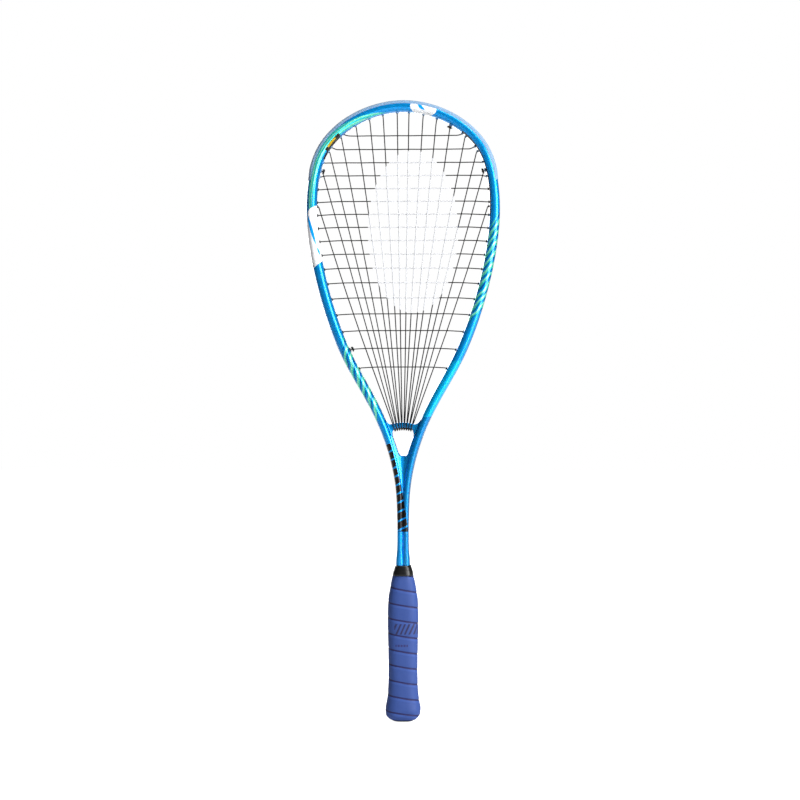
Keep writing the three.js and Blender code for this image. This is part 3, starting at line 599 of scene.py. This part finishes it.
def grommet_strip(side):
    """The strip in the channel below the bumper, on the left (-1) or right (1)."""
    start = distance_at_height(BUMPER_END) + STRIP_START
    end = distance_at_height(STRIP_END)
    low_end, high_end = sorted((side * start, side * end))
    distances = strip_distances(high_end, low_end)
    lip = lip_reach(distances)
    floor = lip + STRIP_FLOOR
    edge = STRIP_HALF_WIDTH
    low = floor - STRIP_THICKNESS
    corners = [(floor, -edge), (floor, edge), (low, edge), (low + 0.45, edge - 0.6),
               (low + 0.45, 0.6 - edge), (low, -edge)]
    shell = closed_shell(place_sections(distances, section_points(corners)))
    return joined([shell, *barrels(low_end, high_end)])


def main_hole(main):
    """Signed distance of a main's hole; mains are counted from the left."""
    place = MAIN_PAIRS - 1 - main if main < MAIN_PAIRS else main - MAIN_PAIRS
    return MAIN_HOLES[place] * (-1 if main < MAIN_PAIRS else 1)


def cross_heights():
    heights = [CROSS_TOP]
    for i in range(CROSSES - 1):
        heights.append(heights[i] - CLOSEST_PITCH - PITCH_GROWTH * (i - CLOSEST_CROSS) ** 2)
    return heights


CROSS_HEIGHTS = cross_heights()


def cross_hole(cross, side):
    """Signed distance of a cross's hole; crosses are counted from the top."""
    shift = CROSS_HOLE_SHIFT[cross] if cross < len(CROSS_HOLE_SHIFT) else CROSS_DROOP
    return side * (distance_at_height(CROSS_HEIGHTS[cross], PROUD_MOUTH) + shift)


def string_holes():
    """Distance, depth and kind of every hole."""
    holes = []
    for main in range(2 * MAIN_PAIRS):
        outer_tie = main in (1, LAST_MAIN - 1)
        cross_tie = main == CROSS_START_MAIN
        y = TIE_SHIFT if outer_tie else 0 if cross_tie else STRING_PLANE
        holes.append((main_hole(main), y, outer_tie or cross_tie))
    for cross in range(CROSSES):
        for side in (-1, 1):
            tie = cross == CROSSES - 2 and side < 0
            holes.append((cross_hole(cross, side), 0 if tie else -STRING_PLANE, tie))
    return holes


def barrels(low, high):
    """The round grommets of the string holes between two distances, one shell each."""
    shells = []
    for distance, y, tie in string_holes():
        if not low < distance < high:
            continue
        middle, inward, width = tube_place(distance)
        radius, bore = (TIE_RADIUS, TIE_BORE) if tie else (BARREL_RADIUS, BARREL_BORE)
        inner = width / 2
        foot = STRIP_FLOOR - 0.4 - width / 2
        profile = [(foot, radius), (inner + 0.5, radius), (inner + 0.85, radius - 0.1),
                   (inner + BARREL_PROUD, radius - 0.3), (inner + BARREL_PROUD, bore + 0.12),
                   (inner + 0.85, bore), (foot, bore)]
        round_hole = circle(np.cross(inward, BACKWARD), BACKWARD, 18)
        rings = [middle + inward * reach + BACKWARD * y + size * round_hole for reach, size in profile]
        shells.append(ring_shell(np.array(rings)[::-1]))
    return shells


# ---- Strings ----


def mouth(distance, y):
    """Where a string comes free of its grommet, inside the hoop."""
    middle, inward, width = tube_place(distance)
    return middle + inward * (width / 2 + PROUD_MOUTH) + BACKWARD * y


def channel_point(distance, y):
    """A place of the string in the channel, outside the hoop."""
    middle, inward, width = tube_place(distance)
    return middle + inward * (FIT + STRING_RADIUS - width / 2) + BACKWARD * y


def loop_outside(start, start_y, end, end_y, lane):
    """Out through one hole, along the channel in a lane, and in through the next hole."""
    side = math.copysign(1, end - start)
    inner = np.linspace(start + side * CHANNEL_TURN, end - side * CHANNEL_TURN, 8)
    return [
        mouth(start, start_y), channel_point(start, start_y),
        *[channel_point(distance, lane) for distance in inner],
        channel_point(end, end_y), mouth(end, end_y),
    ]


def bridge_x(pair):
    return (pair - (MAIN_PAIRS - 1) / 2) * BRIDGE_PITCH


def main_at(main, y, height):
    """Where a main passes a height, on its way from the bridge to its hole."""
    foot = bridge_x(main // 2)
    top = mouth(main_hole(main), STRING_PLANE)
    low = bridge_underside(foot) - SADDLE_THICKNESS
    share = (height - low) / (top[2] - low)
    bow = OUTER_MAIN_BOW * math.sin(math.pi * share) if main in (0, LAST_MAIN) else 0
    return np.array([foot + (top[0] - foot) * share + math.copysign(bow, top[0]), y, height])


def crosses_met(main):
    """The crosses that a main passes behind or in front of, from the top down."""
    top = mouth(main_hole(main), STRING_PLANE)[2] - 3
    return [cross for cross in range(CROSSES) if CROSS_HEIGHTS[cross] < top]


def woven_main(main):
    """Places of a main behind and in front of the crosses, from the top down."""
    return [
        main_at(main, WEAVE * (1 if (main + cross) % 2 else -1), CROSS_HEIGHTS[cross])
        for cross in crosses_met(main)
    ]


def pair_of_mains(pair):
    """Down one main, round the bridge from front to back and up the next one."""
    x = bridge_x(pair)
    underside = bridge_underside(x) - SADDLE_THICKNESS - 2 * FIT - STRING_RADIUS
    out = BRIDGE_HALF_DEPTH + FIT + STRING_RADIUS
    above = BRIDGE_TOP + 2
    wrap = [
        main_at(2 * pair, -out, above), np.array([x, -out, underside]),
        np.array([x, out, underside]), main_at(2 * pair + 1, out, above),
    ]
    return [*woven_main(2 * pair), *wrap, *woven_main(2 * pair + 1)[::-1]]


def rounded_path(points, radius):
    """The same path with every corner turned into a short curve."""
    points = np.array(points, float)
    result = [points[0]]
    for before, corner, after in zip(points, points[1:], points[2:]):
        arm_in = before - corner
        arm_out = after - corner
        length_in = np.linalg.norm(arm_in)
        length_out = np.linalg.norm(arm_out)
        bend = math.acos(np.clip(-arm_in @ arm_out / length_in / length_out, -1, 1))
        sharp = bend > SHARP_BEND
        reach = min(radius * (1 if sharp else 3.5), 0.48 * length_in, 0.48 * length_out)
        begin = corner + arm_in / length_in * reach
        finish = corner + arm_out / length_out * reach
        result.extend(curve_points(begin, corner, finish, 6 if sharp else 4, True))
    result.append(points[-1])
    return np.array(result)


def round_cord(path, radius, sides=10):
    """A round cord along a smooth path, without twist."""
    keep = np.concatenate([[True], np.linalg.norm(np.diff(path, axis=0), axis=1) > 1e-4])
    path = path[keep]
    tangent = np.gradient(path, axis=0)
    tangent /= np.linalg.norm(tangent, axis=1)[:, None]
    seed = BACKWARD if abs(tangent[0][1]) < 0.9 else np.array([1, 0, 0])
    rings = []
    for point, direction in zip(path, tangent):
        seed = seed - direction * (seed @ direction)
        seed = seed / np.linalg.norm(seed)
        rings.append(point + radius * circle(seed, np.cross(direction, seed), sides))
    return closed_shell(np.array(rings))


def knot(distance, y, tail_side=1):
    """An overhand knot against a grommet, with a cut tail along the frame."""
    middle, inward, width = tube_place(distance)
    at = middle + inward * (width / 2 + BARREL_PROUD + FIT + KNOT_RADIUS) + BACKWARD * y
    basis = np.array([np.cross(inward, BACKWARD), BACKWARD, inward])
    t = np.linspace(0, 2 * math.pi, 73)
    lobes = np.stack([
        np.sin(t) + 2 * np.sin(2 * t), np.cos(t) - 2 * np.cos(2 * t), -1.1 * np.sin(3 * t),
    ], axis=1)
    spread = np.array([KNOT_SPREAD, KNOT_SPREAD, 1]) * (KNOT_RADIUS - STRING_RADIUS) / 3
    loop = at + (lobes * spread) @ basis
    tail = np.array([[0, 0, 0], [1.6 * tail_side, 0.2, -0.2], [3.1 * tail_side, -0.3, -0.6]])
    return [
        round_cord(loop, KNOT_THREAD, 8),
        round_cord(rounded_path(at + tail @ basis, 0.5), STRING_RADIUS * 0.9, 8),
    ]


def main_string():
    """One length: tied, up and down all the mains by way of the bridge, and tied again."""
    tied = TIE_SHIFT + STRING_PLANE
    tail = TIE_SHIFT - STRING_PLANE

    def y_at(main):
        return tied if main in (1, LAST_MAIN - 1) else STRING_PLANE

    route = loop_outside(main_hole(1), tail, main_hole(0), STRING_PLANE, STRING_LANE)
    for pair in range(MAIN_PAIRS):
        route += pair_of_mains(pair)
        up = 2 * pair + 1
        if up < LAST_MAIN:
            route += loop_outside(main_hole(up), y_at(up), main_hole(up + 1), y_at(up + 1), STRING_LANE)
    tie = main_hole(LAST_MAIN - 1)
    route += loop_outside(main_hole(LAST_MAIN), STRING_PLANE, tie, tail, STRING_LANE)
    cord = round_cord(rounded_path(route, CORD_BEND), STRING_RADIUS)
    return joined([cord, *knot(main_hole(1), tail, -1), *knot(tie, tail)])


def cross_points(cross):
    """A cross from left to right, over and under the mains, its ends drooping."""
    height = CROSS_HEIGHTS[cross]
    ends = [mouth(cross_hole(cross, side), -STRING_PLANE) for side in (-1, 1)]
    droop = height - ends[1][2] if cross >= len(CROSS_HOLE_SHIFT) else 0
    low, high = ends[0][0] + CROSS_TURN, ends[1][0] - CROSS_TURN
    first, last = (np.array([x, -STRING_PLANE / 2, height - droop * 0.75]) for x in (low, high))
    points = [first]
    for main in range(2 * MAIN_PAIRS):
        if cross not in crosses_met(main):
            continue
        x = main_at(main, 0, height)[0]
        if low + 1.5 < x < high - 1.5:
            fall = max(0, 1 - min(x - ends[0][0], ends[1][0] - x) / DROOP_REACH)
            over = -1 if (main + cross) % 2 else 1
            points.append(np.array([x, WEAVE * over, height - droop * fall**2]))
    return [*points, last]


def cross_string():
    """One length: tied at the crown, from side to side down the face, and tied again."""
    plane = -STRING_PLANE
    start = main_hole(CROSS_START_MAIN)
    route = loop_outside(start, plane, cross_hole(0, 1), plane, -STRING_LANE)
    for cross in range(CROSSES):
        side = 1 if cross % 2 else -1
        route += cross_points(cross)[::side]
        if cross < CROSSES - 1:
            following = cross_hole(cross + 1, side)
            route += loop_outside(cross_hole(cross, side), plane, following, plane, -STRING_LANE)
    tie = cross_hole(CROSSES - 2, -1)
    route += loop_outside(cross_hole(CROSSES - 1, -1), plane, tie, STRING_PLANE, -STRING_LANE)
    cord = round_cord(rounded_path(route, CORD_BEND), STRING_RADIUS)
    start_knot = knot(start, STRING_RADIUS - STRING_PLANE - KNOT_RADIUS)
    return joined([cord, *start_knot, *knot(tie, STRING_PLANE, -1)])


# ---- Handle ----


def column(rows, sides=96):
    """A solid column through rows of height, half width and half depth."""
    angles = np.linspace(0, 360, sides, endpoint=False)
    rings = []
    for z, half_width, half_depth in rows:
        ring = superellipse(half_width, half_depth, HANDLE_POWER, angles)
        rings.append(np.column_stack([ring, np.full(sides, z)]))
    return closed_shell(np.array(rings))


def sleeve_size(z):
    """Half width and half depth of the wrapped handle, before the grooves."""
    heights, *sizes = np.array([*BUTT, *SLEEVE], float).T
    result = []
    for values in sizes:
        end_slope = (values[-1] - values[-2]) / (heights[-1] - heights[-2])
        curve = cubic_spline(heights, values, BUTT_SLOPE, end_slope)
        result.append(np.where(z > BUTT[1][0], curve(z), np.interp(z, heights, values)))
    return result


def grip_tape():
    """Cushioned tape wound down the handle, with a groove between turns."""
    foot = [BUTT[0][0], 2.55, 2.7, 3.0, 3.5, 4.2]
    z = np.concatenate([foot, np.arange(BUTT[1][0], GRIP_TOP, 0.45), [GRIP_TOP]])
    angles = np.linspace(0, 360, 144, endpoint=False)
    half_width, half_depth = sleeve_size(z)
    section = superellipse(half_width[:, None], half_depth[:, None], HANDLE_POWER, angles[None, :])
    sweep = (angles + 90) % 360  # 0 at the middle of the front, growing to +X
    turns = (GRIP_SEAM - z[:, None]) / GRIP_PITCH - sweep[None, :] / 360
    phase = turns - np.floor(turns)
    gap = np.minimum(phase, 1 - phase) * GRIP_PITCH
    seam = SEAM_DEPTH * np.exp(-(gap / SEAM_HALF_WIDTH) ** 2)
    groove = seam + 0.12 * np.exp(-gap / 2.6) + 0.1 * (1 - phase)
    section = section * (1 - groove / half_width[:, None])[:, :, None]
    heights = np.broadcast_to(z[:, None, None], (*section.shape[:2], 1))
    outside = np.concatenate([section, heights], axis=2)
    turned_in = [outside[0] * [share, share, 1] for share in (0.89, 0.97)]
    return closed_shell(np.concatenate([turned_in, outside]))


def butt_cap():
    """End of the cap that shows inside the tape, with a shallow plain dish."""
    dish = [(0.5, 7.2, 6.5), (0.45, 7.9, 7.2), (0.05, 8.4, 7.7)]
    rim = [(0, 9.2, 8.5), (0.05, 9.5, 8.8), (0.35, 10.8, 9.8), (0.8, 11.7, 10.6), (1.5, 12.5, 11.3),
           (2.3, 13.1, 11.9), (3.4, 13.3, 12.1), (8, 13.3, 12.1)]
    return column([*dish, *rim])


def grip_collar():
    """Rubber ring over the tape's end, tapered, with rolled edges."""
    return column([
        (160.9, 11.1, 13.7), (161.0, 11.3, 14.0), (161.4, 11.4, 14.1), (163.2, 11.15, 13.9),
        (165, 10.8, 13.6), (166.8, 10.25, 13.1), (168.5, 9.6, 12.5), (170.3, 9.15, 12.0),
        (171.5, 8.75, 11.6), (171.9, 8.3, 11.1), (COLLAR_TOP, 7.6, 10.4),
    ])


# ---- Finishes ----


class Field:
    """A value that varies over a surface; arithmetic on it adds nodes."""

    def __init__(self, tree, socket):
        self.tree = tree
        self.socket = socket

    def math(self, operation, *others):
        node = self.tree.nodes.new("ShaderNodeMath")
        node.operation = operation
        for slot, value in zip(node.inputs, (self, *others)):
            if isinstance(value, Field):
                self.tree.links.new(value.socket, slot)
            else:
                slot.default_value = value
        return Field(self.tree, node.outputs[0])

    __add__ = partialmethod(math, "ADD")
    __sub__ = partialmethod(math, "SUBTRACT")
    __mul__ = partialmethod(math, "MULTIPLY")
    __truediv__ = partialmethod(math, "DIVIDE")
    above = partialmethod(math, "GREATER_THAN")
    below = partialmethod(math, "LESS_THAN")
    either = partialmethod(math, "MAXIMUM")
    size = partialmethod(math, "ABSOLUTE")
    fraction = partialmethod(math, "FRACT")

    def between(self, low, high):
        return self.above(low) * self.below(high)


COLOUR_BELOW = 6  # a mix node's sockets for colours
COLOUR_ABOVE = 7
MIXED_COLOUR = 2


class Finish:
    """One procedural material: a principled shader and what feeds it."""

    def __init__(self, name, colour, roughness, **constants):
        self.material = bpy.data.materials.new(name)
        self.material.use_nodes = True
        self.tree = self.material.node_tree
        self.link = self.tree.links.new
        self.shader = self.tree.nodes["Principled BSDF"]
        self.shader.inputs["Base Color"].default_value = (*colour, 1)
        self.shader.inputs["Roughness"].default_value = roughness
        for key, value in constants.items():
            self.shader.inputs[key.replace("_", " ")].default_value = value
        self.place = self.tree.nodes.new("ShaderNodeTexCoord").outputs["Object"]

    def attribute(self, name):
        node = self.tree.nodes.new("ShaderNodeAttribute")
        node.attribute_name = name
        return Field(self.tree, node.outputs["Fac"])

    def position(self):
        """X, Y and Z in millimetres."""
        node = self.tree.nodes.new("ShaderNodeSeparateXYZ")
        self.link(self.place, node.inputs[0])
        return [Field(self.tree, output) / MM for output in node.outputs]

    def texture(self, kind, size_mm):
        node = self.tree.nodes.new(kind)
        node.inputs["Scale"].default_value = 1 / (size_mm * MM)
        self.link(self.place, node.inputs["Vector"])
        return node

    def noise(self, size_mm, detail=2.0):
        """Soft noise with spots of about that size."""
        node = self.texture("ShaderNodeTexNoise", size_mm)
        node.inputs["Detail"].default_value = detail
        return Field(self.tree, node.outputs["Fac"])

    def cells(self, size_mm):
        """Distance from the nearest of many scattered points, about that far apart."""
        node = self.texture("ShaderNodeTexVoronoi", size_mm)
        return Field(self.tree, node.outputs["Distance"])

    def paint(self, mask, colour):
        """Lays a colour over what is there, where the mask is 1."""
        node = self.tree.nodes.new("ShaderNodeMix")
        node.data_type = "RGBA"
        self.link(mask.socket, node.inputs["Factor"])
        base = self.shader.inputs["Base Color"]
        under = node.inputs[COLOUR_BELOW]
        if base.is_linked:
            self.link(base.links[0].from_socket, under)
        else:
            under.default_value = base.default_value
        node.inputs[COLOUR_ABOVE].default_value = (*colour, 1)
        self.link(node.outputs[MIXED_COLOUR], base)

    def drive(self, key, field):
        self.link(field.socket, self.shader.inputs[key])

    def bump(self, height, depth_mm, strength):
        """Fine relief; height runs from 0 to 1 over that depth."""
        node = self.tree.nodes.new("ShaderNodeBump")
        node.inputs["Strength"].default_value = strength
        node.inputs["Distance"].default_value = depth_mm * MM
        self.link(height.socket, node.inputs["Height"])
        self.link(node.outputs[0], self.shader.inputs["Normal"])


def blades(finish, reach, inward, limits, pitch, lean):
    """Slanted turquoise blades between two distances, with pale and deep blue ones."""
    slanted = reach - inward * lean
    phase = ((slanted + finish.noise(15, 1.0) * 14) / pitch).fraction()
    inside = slanted.between(*limits)
    finish.paint(inside * phase.between(0.04, 0.54), TURQUOISE)
    finish.paint(inside * phase.between(0.1, 0.32), PALE_TURQUOISE)
    finish.paint(inside * phase.between(0.6, 0.78), DEEP_BLUE)


def leaf_shape(share, off_middle, breadth):
    """1 inside a pointed leaf that runs from share -1 to 1."""
    return off_middle.size().below((share * share * -1 + 1) * breadth) * share.between(-1, 1)


def long_flash(finish, along, inward):
    """Streaked leaf from the crown's inner side to the left limb's outer side."""
    share = (along - FLASH_MIDDLE) / FLASH_REACH
    off_middle = inward - (share * share * 2.0 + share * 3.0 + 0.2)
    leaf = leaf_shape(share, off_middle, share * 0.6 + 3.7)
    streak = (off_middle / 2.7 + finish.noise(24, 1.0)).fraction()
    finish.paint(leaf, TURQUOISE)
    finish.paint(leaf * streak.below(0.3), PALE_TURQUOISE)
    finish.paint(leaf * streak.between(0.62, 0.78), BRIGHT_CYAN)


def white_panels(finish, along, inward):
    """One on the left limb and one by the crown, with slim blue leaves; 1 inside them."""
    slanted = along + inward * -0.55
    rounding = (inward.below(-0.5) * (inward + 0.5)).math("POWER", 2.0) * 0.25
    panel = (slanted + rounding).below(LEFT_PANEL[1]) * slanted.above(LEFT_PANEL[0])
    finish.paint(panel, WHITE)
    slit = inward + (along + 200) * 0.19
    finish.paint(panel * leaf_shape((along - LEFT_LEAF) / 19, slit, 1.7), BLUE)
    finish.paint(panel * leaf_shape((along - LEFT_LEAFLET) / 5, slit, 1.0), BLUE)
    across = ((along - CROWN_PANEL) / CROWN_PANEL_REACH).size().math("POWER", PANEL_POWER)
    deep = ((inward - 0.2) / 6.6).size().math("POWER", PANEL_POWER)
    crown_panel = (across + deep).below(1.0)
    finish.paint(crown_panel, WHITE)
    mark = (along - CROWN_LEAF) / 4.6
    finish.paint(leaf_shape(mark, inward - (along - CROWN_LEAF) * 0.5, mark * -0.9 + 2.0), BLUE)
    return panel.either(crown_panel)


def black_blocks(finish, x, z):
    """Plain slanted blocks, beside the left edge above, right across the shaft below."""
    down = z * -1 + 306
    right_edge = down * 0.29 - down * down * 0.00095 - 13.2
    block = ((x * 0.5 - z) / BLOCK_PITCH).fraction()
    finish.paint(z.between(*BLOCK_HEIGHTS) * x.below(right_edge) * block.above(0.2), BLACK)


def inner_labels_and_shade(finish, along, inward):
    """Plain bands on the inner side of the hoop, and a strip of painted shade along the right limb's inner
    side.
    """
    finish.paint(inward.above(2.3) * along.between(*LABEL), BLACK)
    finish.paint(inward.above(4.9) * along.between(*LABEL_TAIL), BLACK)
    finish.paint(inward.between(3.0, 4.5) * along.between(*LABEL_BAR), YELLOW)
    # painted shade: a dark brown strip on the right limb's inner side
    finish.paint(inward.above(4.3) * along.between(*INNER_SHADE_STRIP), INNER_SHADE_BROWN)


def frame_paint():
    """Metallic blue under lacquer, with turquoise, white and black decoration, a darker blue on the right
    that is partly painted shade, and a strip of painted shade inside the hoop.
    """
    finish = Finish("frame_paint", BLUE, 0.34, Specular_IOR_Level=0.15, Coat_Weight=0.6,
                    Coat_Roughness=0.06)
    along = finish.attribute("along")
    inward = finish.attribute("inward")
    x, _, z = finish.position()
    blades(finish, along, inward, RIGHT_BLADES, 11.7, 1.9)
    blades(finish, along * -1, inward, LEFT_BLADES, 13.7, -2.05)
    long_flash(finish, along, inward)
    right_limb = along - inward * 0.6
    finish.paint(right_limb.between(*CYAN_PANEL), BRIGHT_CYAN)
    # partly darker paint, partly painted shade: the right leg and the right halves of the web and yoke in
    # darker blue
    finish.paint(right_limb.above(CYAN_PANEL[1]) * x.above(1.2), LEG_BLUE_AND_SHADE)
    white = white_panels(finish, along, inward)
    finish.drive("Metallic", white * -METALLIC + METALLIC)
    black_blocks(finish, x, z)
    inner_labels_and_shade(finish, along, inward)
    finish.drive("Roughness", finish.noise(9, 3.0) * 0.14 + 0.25)
    finish.bump(finish.cells(0.16) * 0.4 + finish.noise(3) * 0.6, 0.004, 0.2)
    return finish.material


def bumper_plastic():
    finish = Finish("bumper_plastic", BUMPER_GREY, 0.5, Specular_IOR_Level=0.3, Alpha=0.76)
    finish.drive("Roughness", finish.noise(3, 3.0) * 0.2 + 0.45)
    finish.bump(finish.noise(0.7), 0.03, 0.5)
    return finish.material


def black_plastic():
    finish = Finish("black_plastic", PLASTIC_BLACK, 0.42)
    finish.drive("Roughness", finish.noise(1.2) * 0.3 + 0.3)
    finish.bump(finish.noise(0.25), 0.02, 0.5)
    return finish.material


def string_nylon():
    """Dark multifilament string, with a plain white oval stencilled on the face."""
    finish = Finish("string_nylon", STRING_BLACK, 0.5, Specular_IOR_Level=0.25)
    x, _, z = finish.position()
    across = (x - STENCIL_MIDDLE[0]) / STENCIL_REACH[0]
    up = (z - STENCIL_MIDDLE[1]) / STENCIL_REACH[1]
    finish.paint((across * across + up * up).below(1.0), STENCIL_WHITE)
    finish.drive("Roughness", finish.noise(0.8) * 0.25 + 0.28)
    twist = ((x + z) / 0.5).math("SINE") * 0.5 + 0.5
    finish.bump(twist, 0.03, 0.5)
    return finish.material


def pallet_foam():
    finish = Finish("pallet_foam", FOAM_TAN, 0.85)
    finish.bump(finish.cells(0.6), 0.15, 0.6)
    return finish.material


def staple_steel():
    finish = Finish("staple_steel", STEEL, 0.28, Metallic=1.0)
    finish.drive("Roughness", finish.noise(0.4) * 0.2 + 0.2)
    finish.bump(finish.noise(0.2), 0.01, 0.4)
    return finish.material


def grip_skin():
    """Blue tape with fine dimples, painted shadow in the seams between turns, a painted highlight just
    below each seam, and plain marks.
    """
    finish = Finish("grip_skin", GRIP_BLUE, 0.66)
    x, y, z = finish.position()
    angle = x.math("ARCTAN2", y * -1) / math.radians(360)
    turns = (z * -1 + GRIP_SEAM) / GRIP_PITCH - angle
    off_seam = (turns + 0.5).fraction() - 0.5
    around = angle * GRIP_GIRTH
    down = turns * GRIP_PITCH
    # painted highlight just below each seam, then painted shadow in the seam itself
    finish.paint(off_seam.between(0.0, 0.2), SEAM_HIGHLIGHT_BLUE)
    finish.paint(off_seam.size().below(0.055), SEAM_SHADOW_BLUE)
    front = y.below(-2.0)
    bars = ((around - z * 0.45) / BAR_PITCH).fraction().between(0.2, 0.64)
    finish.paint(front * bars * z.between(*BAR_HEIGHTS) * around.above(-9), BAR_BLUE)
    dashes = (around / DASH_PITCH).fraction().above(0.3) * around.between(-8, 6)
    finish.paint(front * dashes * z.between(*DASH_HEIGHTS), DASH_BLUE)
    across = ((around + down) * DIMPLE_TURN).math("SINE")
    back = ((around - down) * DIMPLE_TURN).math("SINE")
    finish.drive("Roughness", finish.noise(5, 3.0) * 0.2 + 0.55)
    finish.bump(across * back * 0.5 + finish.noise(0.3) * 0.5, 0.09, 0.6)
    return finish.material


def black_tape():
    finish = Finish("black_tape", TAPE_BLACK, 0.4)
    finish.bump(finish.noise(0.5), 0.03, 0.5)
    return finish.material


def black_rubber():
    finish = Finish("black_rubber", RUBBER_BLACK, 0.3)
    finish.drive("Roughness", finish.noise(2.5, 3.0) * 0.16 + 0.24)
    finish.bump(finish.noise(0.9), 0.02, 0.4)
    return finish.material


# ---- The racket ----


def build_racket():
    paint = frame_paint()
    plastic = black_plastic()
    nylon = string_nylon()
    foam = pallet_foam()
    steel = staple_steel()
    hoop, along, inward = hairpin()
    web = throat_web()
    extra = len(web[0])
    make_piece("frame_tube_shell", joined([hoop, web]), paint, ["frame_tube"], "frame_paint", 40,
               along=np.append(along, np.full(extra, PLAIN)), inward=np.append(inward, np.zeros(extra)))
    bridge = throat_bridge()
    count = len(bridge[0])
    make_piece("throat_bridge_yoke", bridge, paint, ["throat_bridge"], "frame_paint", 40,
               along=np.full(count, PLAIN), inward=np.zeros(count))
    make_piece("bumper_guard_shell", bumper_guard(), bumper_plastic(), ["bumper_guard"], "clear_plastic")
    for name, side in (("left", -1), ("right", 1)):
        make_piece(f"grommets_{name}", grommet_strip(side), plastic, [f"grommet_strip_{name}"],
                   "black_plastic")
    make_piece("bridge_liner", bridge_saddle(), plastic, ["bridge_saddle"], "black_plastic")
    make_piece("mains", main_string(), nylon, ["main_string"], "string_nylon")
    make_piece("crosses", cross_string(), nylon, ["cross_string"], "string_nylon")
    make_piece("grip_winding", grip_tape(), grip_skin(), ["grip_tape"], "grip_skin")
    make_piece("butt_end_cap", butt_cap(), plastic, ["butt_cap"], "black_plastic")
    make_piece("rubber_collar", grip_collar(), black_rubber(), ["grip_collar"], "black_rubber")
    for side in ("front", "back"):
        keep_cad_node(f"handle_pallet_{side}", foam)
    for side in ("left", "right"):
        keep_cad_node(f"cap_staple_{side}", steel)
    keep_cad_node("finishing_tape", black_tape())


# ---- Studio ----


def seen_directly(tree):
    """1 where the camera sees a thing directly, 0 in its reflections."""
    return Field(tree, tree.nodes.new("ShaderNodeLightPath").outputs["Is Camera Ray"])


def studio_floor():
    """Plain white floor, as bright as the white behind it."""
    mesh = bpy.data.meshes.new("floor")
    corners = [(x * FLOOR_REACH, y * FLOOR_REACH, 0) for x, y in ((-1, -1), (1, -1), (1, 1), (-1, 1))]
    mesh.from_pydata(corners, [], [(0, 1, 2, 3)])
    finish = Finish("floor_white", (0.9, 0.9, 0.9), 0.8, Emission_Color=(1, 1, 1, 1))
    finish.drive("Emission Strength", seen_directly(finish.tree) * FLOOR_GLOW)
    mesh.materials.append(finish.material)
    floor = new_object("floor", mesh)


def softbox(name, place, size, power):
    """A rectangular lamp that faces the middle of the racket."""
    light = bpy.data.lights.new(name, "AREA")
    light.shape = "RECTANGLE"
    light.size, light.size_y = size
    light.energy = power
    lamp = new_object(name, light)
    lamp.location = place
    lamp.rotation_mode = "QUATERNION"
    lamp.rotation_quaternion = (Vector(AIM) - lamp.location).to_track_quat("-Z", "Y")


def studio_camera():
    data = bpy.data.cameras.new("camera")
    data.sensor_width = SENSOR
    data.lens = SENSOR * CAMERA_DISTANCE / FRAMING
    camera = new_object("camera", data)
    back = np.array([math.sin(CAMERA_AZIMUTH), -math.cos(CAMERA_AZIMUTH), 0])
    camera.location = AIM + back * CAMERA_DISTANCE
    camera.rotation_euler = (math.pi / 2, 0, CAMERA_AZIMUTH)
    bpy.context.scene.camera = camera


def studio_world():
    """White behind the racket, and a soft even light that is much dimmer."""
    world = bpy.data.worlds.new("studio")
    world.use_nodes = True
    tree = world.node_tree
    background = tree.nodes["Background"]
    background.inputs["Color"].default_value = (1, 1, 1, 1)
    strength = seen_directly(tree) * (1 - AMBIENT) + AMBIENT
    tree.links.new(strength.socket, background.inputs["Strength"])
    bpy.context.scene.world = world


def studio():
    studio_floor()
    studio_world()
    for lamp in SOFTBOXES:
        softbox(*lamp)
    studio_camera()
    bpy.context.scene.view_settings.view_transform = "Standard"


build_racket()
studio()
